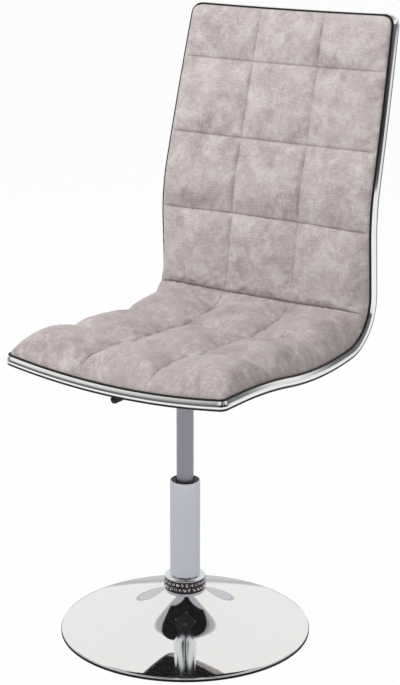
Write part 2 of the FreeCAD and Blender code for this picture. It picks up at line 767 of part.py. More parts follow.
def trimmed(sheet_shape, grow):
    """A dished sheet cut to the seat's outline, grown or shrunk."""
    return sheet_shape.common(outline_block(grow)).Solids[0]


def edging(low, high, outer, inner):
    """A frame along the seat's whole edge, between two rises and two growths of the outline."""
    frame = outline_block(outer).cut(outline_block(inner))
    return dished_band(low, high, START, END).common(frame).Solids[0]



START = -BLANK_MARGIN
END = side_line.length + BLANK_MARGIN
rim_inset = mm("rim_width") - mm("rim_overhang")
inside_rim = -rim_inset - mm("fit_gap")

# Chrome edge trim and black piping

rim_top = -mm("piping_size") / 2 - mm("fit_gap")
keep_shape("chrome_rim", edging(rim_top - mm("rim_height"), rim_top, mm("rim_overhang"), -rim_inset))
piping_half = mm("piping_size") / 2
keep_shape("edge_piping", edging(-piping_half, piping_half, 0, -mm("piping_size")))

# Shell, its two covers and the mounting tray's place under them

shell_band = dished_band(-mm("shell_thickness"), 0, START, END)
shell = trimmed(shell_band, inside_rim)
cover_top = -mm("shell_thickness") - mm("seat_gap")
split = mm("cover_split")
half_gap = mm("seat_gap") / 2
back_cover = trimmed(dished_band(cover_top - mm("cover_thickness"), cover_top, split + half_gap, END),
                     inside_rim)
keep_shape("back_cover", back_cover)
underside_low = cover_top - mm("underside_thickness")
underside = trimmed(dished_band(underside_low, cover_top, START, split - half_gap), inside_rim)

mount_way = side_line.way_at_reach(0)
mount_point, mount_heading = side_line.at(mount_way)
mount_along = Vector(0, math.cos(mount_heading), math.sin(mount_heading))
mount_up = Vector(0, -math.sin(mount_heading), math.cos(mount_heading))


def height_over_mount(across, along, rise):
    """How high a dished surface lies over the mounting plane, along that plane's normal."""
    low, high = mount_way - mm("tray_length"), mount_way + mm("tray_length")
    lifted = dish_rise(across, rise)
    for _ in range(40):
        middle = (low + high) / 2
        offset = side_line.point(middle, across, lifted) - mount_point
        low, high = (middle, high) if offset.dot(mount_along) < along else (low, middle)
    return offset.dot(mount_up)


def lowest_over(across, along, radius, rise):
    """The lowest height of a dished surface over a small disc of the mounting plane."""
    spots = [(across, along), (across - radius, along), (across + radius, along),
             (across, along - radius), (across, along + radius)]
    return min(height_over_mount(x, y, rise) for x, y in spots)


flange_half = mm("tray_length") / 2
flange_top = min(height_over_mount(0, along, underside_low)
                 for along in (-flange_half, -flange_half / 2, 0, flange_half / 2, flange_half))
flange_top -= mm("seat_gap")
mount_place = FreeCAD.Placement(
    mount_point + mount_up * flange_top,
    FreeCAD.Rotation(Vector(1, 0, 0), math.degrees(mount_heading)))


def on_mount(shape):
    """Put a shape that was made about the mounting plane's own origin in its place."""
    shape.Placement = mount_place.multiply(shape.Placement)
    return shape


def upright(radius, low, high, across, along):
    """A round bar square to the mounting plane."""
    return on_mount(Part.makeCylinder(radius, high - low, Vector(across, along, low)))


def square_block(half, low, high, across, along):
    """A square block that stands on the mounting plane."""
    corner = Vector(across - half, along - half, low)
    return on_mount(Part.makeBox(2 * half, 2 * half, high - low, corner))


def bolt_head(radius, low, height, across, along):
    """A hexagonal bolt head square to the mounting plane."""
    outline = Part.Face(Part.makePolygon(many_sided(radius, low, HEAD_SIDES)))
    head_shape = outline.extrude(Vector(0, 0, height))
    head_shape.translate(Vector(across, along, 0))
    return on_mount(head_shape)


BOLT_PLACES = [(side * mm("bolt_pitch_across") / 2, end * mm("bolt_pitch_along") / 2)
               for side in (-1, 1) for end in (-1, 1)]
bolts = []
spacers = []
tee_nuts = []
for across, along in BOLT_PLACES:
    under = lowest_over(across, along, mm("spacer_radius"), underside_low) - flange_top
    face = lowest_over(across, along, mm("nut_flange_half"), 0) - flange_top
    nut_top = face - mm("nut_sink")
    nut_seat = nut_top - mm("nut_flange_thickness")
    nut_end = nut_top - mm("nut_length")
    sheet_low = -mm("tray_sheet")
    loose = mm("bolt_radius") + mm("fit_gap")
    spacer_top = under - mm("seat_gap")
    spacer = upright(mm("spacer_radius"), 0, spacer_top, across, along)
    spacers.append(spacer.cut(upright(loose, 0, spacer_top, across, along)))
    nut = upright(mm("nut_barrel_radius"), nut_end, nut_top, across, along)
    nut = nut.fuse(square_block(mm("nut_flange_half"), nut_seat, nut_top, across, along))
    tee_nuts.append(nut.cut(upright(loose, nut_end, nut_top, across, along)).removeSplitter())
    head_low = sheet_low - mm("bolt_head_height")
    head = bolt_head(mm("bolt_head_radius"), head_low, mm("bolt_head_height"), across, along)
    shank_top = nut_top - mm("nut_flange_thickness") / 2
    bolts.append(head.fuse(upright(mm("bolt_radius"), sheet_low, shank_top, across, along)))
    recess = square_block(mm("nut_flange_half") + mm("seat_gap"), nut_seat,
                          nut_top + mm("shell_thickness"), across, along)
    shell = shell.cut(upright(mm("nut_barrel_radius") + mm("fit_gap"), 0, nut_top, across, along))
    shell = shell.cut(recess)
    underside = underside.cut(upright(mm("nut_barrel_radius") + mm("seat_gap"), 0, nut_top, across, along))
keep_shape("seat_shell", shell)
keep_shape("underside_cover", underside)
keep_shape("mounting_bolts", Part.makeCompound(bolts))
keep_shape("bolt_spacers", Part.makeCompound(spacers))
keep_shape("tee_nuts", Part.makeCompound(tee_nuts))

# Quilted pads: one loft for each row, each section three fields wide

ROW_STEPS = (0, 0.12, 0.35, 0.65, 0.88, 1)
LONGEST_STEP = 0.3 * mm("back_row_1")
BASE_RISE = mm("seat_gap") + LONGEST_STEP ** 2 / (8 * mm("lumbar_curve"))
PAD_INSET = mm("piping_size") + mm("seat_gap")
PAD_SLACK = 0.2
SEAM_PUCKER = 1.5
SIDE_TUCK = 1.0
FIELD_FULLNESS = 0.8


def pad_section(way, seam, puff):
    """One closed section of a pad: the hollow shell face below and three quilted fields above."""
    half = half_width_at(way) - PAD_INSET - PAD_SLACK
    seam_at = mm("column_width") / 2 * half / mm("half_width")

    def spot(across, rise):
        return side_line.point(way, across, dish_rise(across, BASE_RISE + rise))

    edge = mm("pad_edge")
    middle = (half + seam_at) / 2
    tuck = max(seam + puff - SIDE_TUCK, edge + SEAM_PUCKER)
    top = [(half, edge), (middle, tuck), (seam_at, seam), (0, seam + puff),
           (-seam_at, seam), (-middle, tuck), (-half, edge)]
    spots = [spot(across, rise) for across, rise in top]
    low = [spot(half, 0), spot(0, 0), spot(-half, 0)]
    return Part.Wire([
        Part.Arc(low[2], low[1], low[0]).toShape(),
        Part.LineSegment(low[0], spots[0]).toShape(),
        Part.Arc(*spots[0:3]).toShape(),
        Part.Arc(*spots[2:5]).toShape(),
        Part.Arc(*spots[4:7]).toShape(),
        Part.LineSegment(spots[6], low[2]).toShape(),
    ])


def seam_rise(first, last, share):
    """The height of the lengthwise seam between two crossings. An open end curls down steeply."""
    if min(first, last) > mm("pad_edge"):
        swell = 4 * share * (1 - share) * mm("seam_softness")
        return first + (last - first) * share + swell
    inward = share if first < last else 1 - share
    low, high = min(first, last), max(first, last)
    return low + (high - low) * math.sqrt(1 - (1 - inward) ** 2)


def quilted_pad(ways, seams, puff):
    """Rows of quilting between the seams at these ways, as one solid."""
    rows = []
    for index in range(len(ways) - 1):
        sections = []
        for share in ROW_STEPS:
            way = ways[index] + (ways[index + 1] - ways[index]) * share
            rise = seam_rise(seams[index], seams[index + 1], share)
            swell = SEAM_PUCKER + (puff - SEAM_PUCKER) * math.sin(math.pi * share) ** FIELD_FULLNESS
            sections.append(pad_section(way, rise, swell))
        rows.append(Part.makeLoft(sections, True, True))
    return trimmed(rows[0].multiFuse(rows[1:]), -PAD_INSET)


seat_ways = [PAD_INSET + PAD_SLACK]
for alias in ("front_row", "middle_row", "rear_row"):
    seat_ways.append(seat_ways[-1] + mm(alias))
bend_way = seat_ways[-1]
seat_ways[-1] -= half_gap
back_ways = [bend_way + half_gap, bend_way + mm("back_row_1")]
for alias in ("back_row_2", "back_row_3"):
    back_ways.append(back_ways[-1] + mm(alias))
back_ways.append(side_line.length - PAD_INSET - PAD_SLACK)
seat_seams = [mm("pad_edge"), mm("pad_front_seam"), mm("pad_middle_seam"), mm("pad_bend_seam")]
back_seams = [mm("pad_bend_seam"), mm("pad_back_seam_1"), mm("pad_back_seam_2"),
              mm("pad_back_seam_3"), mm("pad_edge")]
seat_pad = quilted_pad(seat_ways, seat_seams, mm("seat_puff"))
back_pad = quilted_pad(back_ways, back_seams, mm("back_puff"))
keep_shape("seat_pad", seat_pad)
keep_shape("back_pad", back_pad)

# The lever's line, which the tray's slot follows

LEVER_TURN = math.radians(mm("lever_heading"))
lever_out = Vector(math.cos(LEVER_TURN), math.sin(LEVER_TURN), 0)
lever_side = Vector(lever_out.y, -lever_out.x, 0)
lever_height = float(pin_top) + mm("seat_gap") + mm("lever_radius")


def by_lever(reach, height):
    """A point over the lever's line, at a reach from the release pin."""
    return lever_out * reach + Vector(0, 0, height)


bend_at = by_lever(mm("lever_straight"), lever_height)
tip = by_lever(mm("lever_reach"), lever_height - mm("lever_drop"))
slope = (tip - bend_at).normalize()
tray_wall = -(mm("tray_box_width") - mm("tray_sheet")) / 2
at_wall = bend_at + slope * ((tray_wall - bend_at.x) / slope.x)

# Pressed mounting tray between the hub and the seat


def rounded_rectangle(sketch, width, length, corner):
    """A rectangle with round corners about the sketch's origin."""
    x, y = width / 2, length / 2
    draw_outline(sketch, [
        (x, corner - y), (x, y - corner, corner), (x - corner, y), (corner - x, y, corner),
        (-x, y - corner), (-x, corner - y, corner), (corner - x, -y), (x - corner, -y, corner),
    ])


def pad_down(body, name, sketch, depth):
    """Thicken a sketch downwards by a depth."""
    pad = body.newObject("PartDesign::Pad", name)
    pad.Profile = sketch
    pad.Reversed = True
    bind(pad, "Length", depth)
    return pad


def pocket_down(body, name, sketch, depth):
    """Cut a sketch downwards by a depth."""
    pocket = body.newObject("PartDesign::Pocket", name)
    pocket.Profile = sketch
    bind(pocket, "Length", depth)
    return pocket


tray = start_body("mounting_tray")
tray_sheet = cell("tray_sheet")
flange_sketch = start_sketch(tray, "tray_flange_outline", "XY_Plane")
rounded_rectangle(flange_sketch, cell("tray_width"), cell("tray_length"), cell("tray_corner"))
pad_down(tray, "tray_flange", flange_sketch, tray_sheet)
box_sketch = start_sketch(tray, "tray_box_outline", "XY_Plane")
rounded_rectangle(box_sketch, cell("tray_box_width"), cell("tray_box_length"), cell("tray_box_corner"))
pad_down(tray, "tray_box", box_sketch, cell("tray_box_depth"))
doc.recompute()
hollow_sketch = start_sketch(tray, "tray_hollow_outline", "XY_Plane")
rounded_rectangle(hollow_sketch, cell("tray_box_width") - 2 * tray_sheet,
                  cell("tray_box_length") - 2 * tray_sheet, cell("tray_box_corner") - tray_sheet)
pocket_down(tray, "tray_hollow", hollow_sketch, cell("tray_box_depth") - tray_sheet)
hole_sketch = start_sketch(tray, "tray_bolt_holes", "XY_Plane")
for side in (-1, 1):
    for end in (-1, 1):
        draw_circle(hole_sketch, cell("bolt_pitch_across") * (side * 0.5),
                    cell("bolt_pitch_along") * (end * 0.5), cell("bolt_radius") + seat_gap)
pocket_down(tray, "tray_bolt_cut", hole_sketch, tray_sheet)
hub_line = mount_place.inverse()
hub_low = hub_line.multVec(Vector(0, 0, float(hub_bottom)))
hub_high = hub_line.multVec(Vector(0, 0, float(hub_top)))
floor_middle = -mm("tray_box_depth") + mm("tray_sheet") / 2
floor_share = (floor_middle - hub_low.z) / (hub_high.z - hub_low.z)
hub_along = hub_low.y + (hub_high.y - hub_low.y) * floor_share
hub_outer = cell("cylinder_radius") + cell("hub_wall") + fit_gap
hub_sketch = start_sketch(tray, "tray_hub_hole", "XY_Plane")
draw_circle(hub_sketch, 0, hub_along, hub_outer + tray_sheet * abs(math.tan(mount_heading)) / 2)
pocket_down(tray, "tray_hub_cut", hub_sketch, cell("tray_box_depth"))
slot_sketch = start_sketch(tray, "tray_lever_slot", "YZ_Plane")
slot_at = mount_place.inverse().multVec(at_wall).y
slot_half = cell("lever_radius") * 2
draw_outline(slot_sketch, [
    (slot_at - slot_half, tray_sheet - cell("tray_box_depth")),
    (slot_at + slot_half, tray_sheet - cell("tray_box_depth")),
    (slot_at + slot_half, -tray_sheet),
    (slot_at - slot_half, -tray_sheet),
])
pocket_down(tray, "tray_lever_cut", slot_sketch, cell("tray_box_width"))
doc.recompute()
tray.Placement = mount_place
keep(tray, "mounting_tray")

# Lever with its grip, bracket and pivot pin

fall = math.acos(slope.dot(lever_out))
trim = mm("lever_bend") * math.tan(fall / 2)
bend_start = bend_at - lever_out * trim
bend_end = bend_at + slope * trim
bisector = (slope - lever_out).normalize()
bend_centre = bend_at + bisector * (mm("lever_bend") / math.cos(fall / 2))
bend_middle = bend_centre - bisector * mm("lever_bend")
lever_start = by_lever(-mm("lever_overrun"), lever_height)
lever_path = Part.Wire([
    Part.LineSegment(lever_start, bend_start).toShape(),
    Part.Arc(bend_start, bend_middle, bend_end).toShape(),
    Part.LineSegment(bend_end, tip).toShape(),
])
rod_section = Part.Wire(Part.makeCircle(mm("lever_radius"), lever_start, lever_out))
lever_rod = lever_path.makePipeShell([rod_section], True, False)
pivot_at = by_lever(mm("lever_pivot"), lever_height)
pivot_reach = mm("lever_radius") + 2 * mm("seat_gap")
pivot_half = pivot_reach + 2 * mm("bracket_sheet")


def cross_bar(radius, half):
    """A round bar through the lever's pivot, square to the lever."""
    return Part.makeCylinder(radius, 2 * half, pivot_at - lever_side * half, lever_side)


lever_rod = lever_rod.cut(cross_bar(mm("pivot_radius") + mm("fit_gap"), pivot_half))
grip_start = tip - slope * mm("grip_length")
grip = Part.makeCylinder(mm("grip_radius"), mm("grip_length"), grip_start, slope)
grip = grip.fuse(Part.makeCone(mm("grip_radius"), mm("grip_radius") - mm("grip_taper") / 2,
                               mm("grip_taper"), tip, slope))
keep_shape("lever_grip", grip.cut(
    Part.makeCylinder(mm("lever_radius") + mm("fit_gap"), mm("grip_length") + mm("fit_gap"),
                      grip_start, slope)))
keep_shape("lever_rod", lever_rod)
print("lever pivot", [round(value, 3) for value in pivot_at])
print("lever axis", [round(value, 5) for value in lever_side])
keep_shape("lever_pivot_pin", cross_bar(mm("pivot_radius"), pivot_half))

tray_floor = mm("tray_sheet") - mm("tray_box_depth")


def tray_slab(low, high):
    """A slab as large as the tray, between two heights over the mounting plane."""
    return on_mount(Part.makeBox(mm("tray_width"), mm("tray_length"), high - low,
                                 Vector(-mm("tray_width") / 2, -mm("tray_length") / 2, low)))


half_length = mm("bracket_length") / 2
ear_top = mm("pivot_radius") + mm("bracket_sheet")


def bracket_block(low_side, high_side, low, high):
    """A block of the bracket, between two sides of the lever and two heights over its pivot."""
    block = Part.makeBox(mm("bracket_length"), high_side - low_side, high - low,
                         Vector(-half_length, low_side, low))
    block.rotate(Vector(0, 0, 0), Vector(0, 0, 1), mm("lever_heading"))
    block.translate(pivot_at)
    return block


ear_out = pivot_reach + mm("bracket_sheet")
deep = -2 * mm("tray_box_depth")
bracket = bracket_block(-ear_out, ear_out, deep, ear_top)
bracket = bracket.cut(tray_slab(2 * deep, tray_floor))
opening = bracket_block(-pivot_reach, pivot_reach, deep, 2 * ear_top)
opening = opening.cut(tray_slab(2 * deep, tray_floor + mm("bracket_sheet")))
bracket = bracket.cut(opening)
keep_shape("lever_bracket", bracket.cut(cross_bar(mm("pivot_radius") + mm("fit_gap"), pivot_half)))

# Check every piece and write it out

doc.recompute()
for thing in doc.Objects:
    if "Invalid" in thing.State or "Error" in thing.State:
        raise RuntimeError("object failed: " + thing.Label)
for piece in nodes:
    if piece.Shape.isNull() or not piece.Shape.isValid():
        raise RuntimeError("bad shape: " + piece.Label)
os.makedirs("parts", exist_ok=True)
for piece in nodes:
    piece.Shape.exportStep("parts/%s.step" % piece.Label)
    print(piece.Label, len(piece.Shape.Solids), round(piece.Shape.Volume, 1))
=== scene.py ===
"""Looks of the swivel dining chair: quilted seat, chrome trim, gas column and round base."""

import math

import bpy
import numpy as np
from bpy.props import FloatProperty, FloatVectorProperty, PointerProperty
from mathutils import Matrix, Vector, noise


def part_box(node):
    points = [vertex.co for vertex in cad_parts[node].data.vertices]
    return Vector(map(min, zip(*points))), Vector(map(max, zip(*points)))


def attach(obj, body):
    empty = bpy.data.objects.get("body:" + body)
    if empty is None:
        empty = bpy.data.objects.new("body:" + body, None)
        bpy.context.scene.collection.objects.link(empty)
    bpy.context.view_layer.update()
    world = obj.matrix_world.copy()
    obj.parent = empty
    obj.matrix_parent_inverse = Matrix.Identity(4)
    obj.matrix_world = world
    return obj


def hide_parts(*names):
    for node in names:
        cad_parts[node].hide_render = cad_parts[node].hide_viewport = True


bl_info = {
    "name": "Swivel Dining Chair",
    "version": (1, 0, 0),
    "blender": (4, 5, 0),
    "location": "View3D > Sidebar > Chair",
    "description": "Upholstery, trim, chrome and studio for a quilted swivel chair",
    "category": "Object",
}

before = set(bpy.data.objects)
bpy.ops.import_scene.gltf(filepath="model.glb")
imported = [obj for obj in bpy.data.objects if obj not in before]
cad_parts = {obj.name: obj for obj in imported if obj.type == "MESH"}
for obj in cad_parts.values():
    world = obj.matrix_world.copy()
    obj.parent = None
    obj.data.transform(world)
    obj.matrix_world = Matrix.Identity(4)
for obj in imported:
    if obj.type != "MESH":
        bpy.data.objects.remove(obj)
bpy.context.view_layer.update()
MM = 0.001


def low(node):
    """Lowest corner of a node of the frame."""
    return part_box(node)[0]


def high(node):
    """Highest corner of a node of the frame."""
    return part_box(node)[1]


# Settings that a user would change

def length(name, text, default):
    """A size in metres."""
    return FloatProperty(name=name, description=text, default=default, unit="LENGTH", precision=4)


def colour(name, text, default):
    """A linear colour."""
    return FloatVectorProperty(name=name, description=text, default=default, subtype="COLOR",
                               size=3, min=0.0, max=1.0)


def point_pair(name, text, default):
    """A place on the side line: distance behind the column's axis, and height."""
    return FloatVectorProperty(name=name, description=text, default=default, size=2, unit="LENGTH")


class SeatLine(bpy.types.PropertyGroup):
    """The seat's line seen from the side, and its outline."""

    front: point_pair("Front", "Front end of the side line", (-0.196, 0.489))
    hump: point_pair("Hump", "Turning point under the thighs", (-0.082, 0.491))
    hollow: point_pair("Hollow", "Lowest turning point of the seat", (0.073, 0.469))
    bend: point_pair("Bend", "Turning point between seat and back", (0.232, 0.493))
    lumbar: point_pair("Lumbar", "Turning point of the lower back", (0.222, 0.692))
    top: point_pair("Top", "Upper end of the side line", (0.299, 1.010))
    hump_curve: length("Hump radius", "Radius of the line at the hump", 0.850)
    hollow_curve: length("Hollow radius", "Radius of the line at the hollow", 0.600)
    bend_curve: length("Bend radius", "Radius between seat and back", 0.075)
    lumbar_curve: length("Lumbar radius", "Radius of the line at the lower back", 0.345)
    half_width: length("Half width", "Half the width between the side rims", 0.212)
    half_width_top: length("Half width at the top", "Half that width at the top", 0.199)
    taper: length("Taper", "Length of the tapered part of the back", 0.500)
    top_corner: length("Top corner", "Radius of the back's upper corners", 0.020)
    front_corner: length("Front corner", "Radius of the seat's front corners", 0.009)
    dish: length("Dish", "How deep the shell is hollowed across its width", 0.016)


class Quilting(bpy.types.PropertyGroup):
    """Rows, columns and fullness of the quilting."""

    row_1: length("Front row", "Length of the seat's front row", 0.130)
    row_2: length("Middle row", "Length of the seat's middle row", 0.150)
    row_3: length("Rear row", "Length of the seat's rear row", 0.152)
    back_row_1: length("Back row 1", "Length of the back's lowest row", 0.139)
    back_row_2: length("Back row 2", "Length of the next row up", 0.131)
    back_row_3: length("Back row 3", "Length of the third row up", 0.130)
    column: length("Column", "Width of the middle column", 0.136)
    seat_puff: length("Seat puff", "How far a seat field stands over its seams", 0.0140)
    back_puff: length("Back puff", "How far a back field stands over its seams", 0.008)
    crease: length("Crease", "Depth of the sewn crease", 0.0016)
    spacing: length("Mesh spacing", "Distance between the mesh lines of a cushion", 0.0036)
    piping: length("Piping", "Radius of the black piping", 0.0018)


class BaseForm(bpy.types.PropertyGroup):
    """The spun base and the collar on its neck."""

    rim_height: length("Rim height", "Height of the rim above the floor", 0.0065)
    wall: length("Sheet", "Thickness of the spun sheet", 0.002)
    neck: length("Neck", "Radius of the neck at its top", 0.033)
    shoulder: point_pair("Shoulder", "Radius and height where the brim turns into the neck",
                         (0.118, 0.0248))
    neck_curve: length("Neck curve", "Radius of the neck's hollow curve", 0.150)
    brim_curve: length("Brim curve", "Radius of the brim's crown", 1.316)
    ring_width: length("Standing ring", "Width of the rubber ring under the rim", 0.009)
    band: length("Band", "Radius of the band that carries the stones", 0.033)
    lip: length("Lip", "Height of the collar's lips", 0.0034)
    crown: length("Crown", "Radius of the collar's flat top", 0.0285)
    fit: length("Fit", "Gap between turned pieces that fit together", 0.00005)


class Finishes(bpy.types.PropertyGroup):
    """Colours of the chair's finishes."""

    suede_light: colour("Suede, light", "Pale clouds of the mottled cloth", (0.570, 0.534, 0.530))
    suede_mid: colour("Suede, middle", "Main tone of the mottled cloth", (0.388, 0.338, 0.330))
    suede_dark: colour("Suede, dark", "Brown patches of the mottled cloth", (0.245, 0.200, 0.195))
    chrome: colour("Chrome", "Polished chrome", (0.885, 0.892, 0.882))
    satin: colour("Satin", "Satin silver of the column tube", (0.745, 0.770, 0.800))
    cylinder_grey: colour("Cylinder", "Grey coating of the gas cylinder", (0.335, 0.328, 0.365))
    black: colour("Black", "Black cloth, rubber and plastic", (0.008, 0.0075, 0.008))


class Studio(bpy.types.PropertyGroup):
    """Camera and lights."""

    place: FloatVectorProperty(name="Camera place", description="Where the camera stands", size=3,
                               default=(1.6378, -2.2699, 1.2908), subtype="XYZ", unit="LENGTH")
    azimuth: FloatProperty(name="Azimuth", description="Heading of the view in degrees",
                           default=35.72)
    elevation: FloatProperty(name="Elevation", description="How far the view looks down in degrees",
                             default=15.81)
    lens: FloatProperty(name="Lens", description="Focal length in millimetres", default=94.77)
    shift: FloatProperty(name="Shift", description="Sideways shift of the picture", default=0.0178,
                         precision=4)
    ambient: FloatProperty(name="Ambient", description="Strength of the white room", default=0.53)


# The seat's form, shared by cushions, piping, trim and covers

class SideLine:
    """Straight runs joined by tangent arcs, in the plane of reach and height."""

    def __init__(self, corners, radii):
        self.runs = []
        place = corners[0]
        for index, radius in enumerate(radii, start=1):
            before = corners[index] - corners[index - 1]
            after = corners[index + 1] - corners[index]
            heading = math.atan2(before.y, before.x)
            turn = math.atan2(after.y, after.x) - heading
            trim = radius * math.tan(abs(turn) / 2)
            end = corners[index] - before.normalized() * trim
            self.runs.append((place, heading, (end - place).length, 0.0))
            self.runs.append((end, heading, radius * abs(turn), math.copysign(1 / radius, turn)))
            place = corners[index] + after.normalized() * trim
        last = corners[-1] - place
        self.runs.append((place, math.atan2(last.y, last.x), last.length, 0.0))
        self.length = sum(run[2] for run in self.runs)

    def at(self, way):
        """Reach, height and heading after a way along the line."""
        for index, (start, heading, run, curve) in enumerate(self.runs):
            if way > run and index < len(self.runs) - 1:
                way -= run
                continue
            after = heading + way * curve
            if curve == 0:
                return (start.x + math.cos(heading) * way, start.y + math.sin(heading) * way,
                        heading)
            return (start.x + (math.sin(after) - math.sin(heading)) / curve,
                    start.y - (math.cos(after) - math.cos(heading)) / curve, after)


# The outline's mesh: its smallest round corner, steps per corner, spacing at sides and ends
SMALLEST_CORNER = 0.004
CORNER_STEPS = 10
EDGE_SPACING = 0.006
END_SPACING = 0.009


class SeatForm:
    """Places on and over the dished face of the shell."""

    def __init__(self, line):
        names = ("front", "hump", "hollow", "bend", "lumbar", "top")
        radii = (line.hump_curve, line.hollow_curve, line.bend_curve, line.lumbar_curve)
        self.line = SideLine([Vector(getattr(line, name)) for name in names], radii)
        self.length = self.line.length
        self.half = line.half_width
        self.dish = line.dish
        self.dish_curve = (self.half ** 2 + self.dish ** 2) / (2 * self.dish)
        self.top_corner = line.top_corner
        self.front_corner = line.front_corner
        self.taper = line.taper
        narrowing = self.half - line.half_width_top
        self.taper_curve = (self.taper ** 2 + narrowing ** 2) / (2 * narrowing)
        reach, height, self.top_heading = self.line.at(self.length)
        self.top = Vector((reach, height))

    def half_at(self, way):
        """Half the seat's width after a way along the side line, its corners left square."""
        reach, height, _ = self.line.at(way)
        along = Vector((math.cos(self.top_heading), math.sin(self.top_heading)))
        past = max(self.taper - (self.top - Vector((reach, height))).dot(along), 0.0)
        return self.half - self.taper_curve + math.sqrt(self.taper_curve ** 2 - past ** 2)

    def row_half(self, way, inset):
        """The same with round corners, for the outline shrunk by an inset."""
        half = self.half_at(way) - inset
        for corner, drop in ((self.top_corner, self.length - inset - way),
                             (self.front_corner, way - inset)):
            radius = max(corner - inset, SMALLEST_CORNER)
            drop = max(drop, 0.0)
            if drop < radius:
                half -= radius - math.sqrt(radius ** 2 - (radius - drop) ** 2)
        return half

    def points(self, across, way, rise):
        """Places over the shell's face for arrays of across and rise at one way."""
        reach, height, heading = self.line.at(way)
        curve = self.dish_curve - rise
        lifted = self.dish_curve - self.dish - np.sqrt(curve ** 2 - across ** 2)
        return np.stack([across, reach - math.sin(heading) * lifted,
                         height + math.cos(heading) * lifted], axis=-1)

    def upward(self, way):
        """The direction off the shell's middle at a way along the side line."""
        heading = self.line.at(way)[2]
        return np.array([0.0, -math.sin(heading), math.cos(heading)])

    def outline(self):
        """The seat's outline from the front round: across, way and the outward direction."""
        front = self.front_corner
        top = self.top_corner
        half = []
        quarter = [math.pi / 2 * step / CORNER_STEPS for step in range(CORNER_STEPS + 1)]
        for across in np.arange(0.0, self.half - front, END_SPACING):
            half.append((across, 0.0, 0.0, -1.0))
        for turn in quarter:
            half.append((self.half - front * (1 - math.sin(turn)), front * (1 - math.cos(turn)),
                         math.sin(turn), -math.cos(turn)))
        for way in np.arange(front + EDGE_SPACING, self.length - top - EDGE_SPACING / 2,
                             EDGE_SPACING):
            slope = (self.half_at(way + MM) - self.half_at(way - MM)) / (2 * MM)
            out = Vector((1.0, -slope)).normalized()
            half.append((self.half_at(way), way, out.x, out.y))
        narrow = self.half_at(self.length - top)
        for turn in quarter:
            half.append((narrow - top * (1 - math.cos(turn)),
                         self.length - top * (1 - math.sin(turn)), math.cos(turn), math.sin(turn)))
        for across in np.arange(narrow - top - EDGE_SPACING, EDGE_SPACING, -END_SPACING):
            half.append((across, self.length, 0.0, 1.0))
        half.append((0.0, self.length, 0.0, 1.0))
        mirrored = [(-x, way, -out_x, out_way) for x, way, out_x, out_way in half[-2:0:-1]]
        return half + mirrored


# Mesh helpers

def piece(name, verts, faces, material, body, smooth):
    """A new piece of the chair that rides on a body of the frame."""
    mesh = bpy.data.meshes.new(name)
    mesh.from_pydata([tuple(v) for v in verts], [], [tuple(f) for f in faces])
    mesh.validate()
    mesh.update()
    mesh.shade_smooth()
    mesh.set_sharp_from_angle(angle=math.radians(smooth))
    made = bpy.data.objects.new(name, mesh)
    bpy.context.scene.collection.objects.link(made)
    made.data.materials.append(material)
    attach(made, body)
    return made


def loop_faces(rings, size, closed):
    """Quads between successive rings of the same size."""
    faces = []
    for ring in range(rings if closed else rings - 1):
        after = (ring + 1) % rings
        for index in range(size):
            beside = (index + 1) % size
            faces.append((ring * size + index, ring * size + beside,
                          after * size + beside, after * size + index))
    return faces


# Share of a side that a rounded corner may take up
LONGEST_TRIM = 0.48


def softened(corners, steps):
    """A closed outline of (x, y, radius) corners with each corner rounded."""
    outline = []
    count = len(corners)
    for index, (x, y, radius) in enumerate(corners):
        here = Vector((x, y))
        before = Vector(corners[index - 1][:2]) - here
        after = Vector(corners[(index + 1) % count][:2]) - here
        if radius <= 0:
            outline.append(here)
            continue
        half = before.angle(after) / 2
        trim = min(radius / math.tan(half), before.length * LONGEST_TRIM,
                   after.length * LONGEST_TRIM)
        first = here + before.normalized() * trim
        last = here + after.normalized() * trim
        for step in range(steps + 1):
            share = step / steps
            outline.append(first * (1 - share) ** 2 + here * 2 * share * (1 - share)
                           + last * share ** 2)
    return outline


def arc(start, end, radius, steps):
    """Places on the arc from start to end that turns left about its centre."""
    chord = end - start
    across = Vector((-chord.y, chord.x)).normalized()
    centre = start + chord / 2 + across * math.sqrt(radius ** 2 - (chord.length / 2) ** 2)
    first = math.atan2(start.y - centre.y, start.x - centre.x)
    turn = math.asin(chord.length / 2 / radius) * 2
    angles = [first + turn * step / steps for step in range(steps + 1)]
    return [centre + Vector((math.cos(angle), math.sin(angle))) * radius for angle in angles]


def turned(name, outline, material, steps=160, smooth=35):
    """A turned piece of the base: a closed outline of radius and height, revolved."""
    verts = []
    for step in range(steps):
        turn = 2 * math.pi * step / steps
        verts += [(p.x * math.cos(turn), p.x * math.sin(turn), p.y) for p in outline]
    faces = [face[::-1] for face in loop_faces(steps, len(outline), True)]
    return piece(name, verts, faces, material, "base", smooth)


def edge_sweep(name, form, profile, material, smooth):
    """A profile of (outward, rise) points carried round the seat's outline."""
    verts = []
    loop = form.outline()
    for across, way, out_x, out_way in loop:
        for out, up in profile:
            verts += list(form.points(np.array([across + out_x * out]), way + out_way * out,
                                      np.array([up])))
    faces = loop_faces(len(loop), len(profile), True)
    return piece(name, verts, faces, material, "seat", smooth)


def round_profile(outward, rise, radius, sides):
    """A circle to carry round the seat's outline."""
    return [(outward + radius * math.cos(turn), rise + radius * math.sin(turn))
            for turn in np.linspace(0, 2 * math.pi, sides + 1)[:-1]]


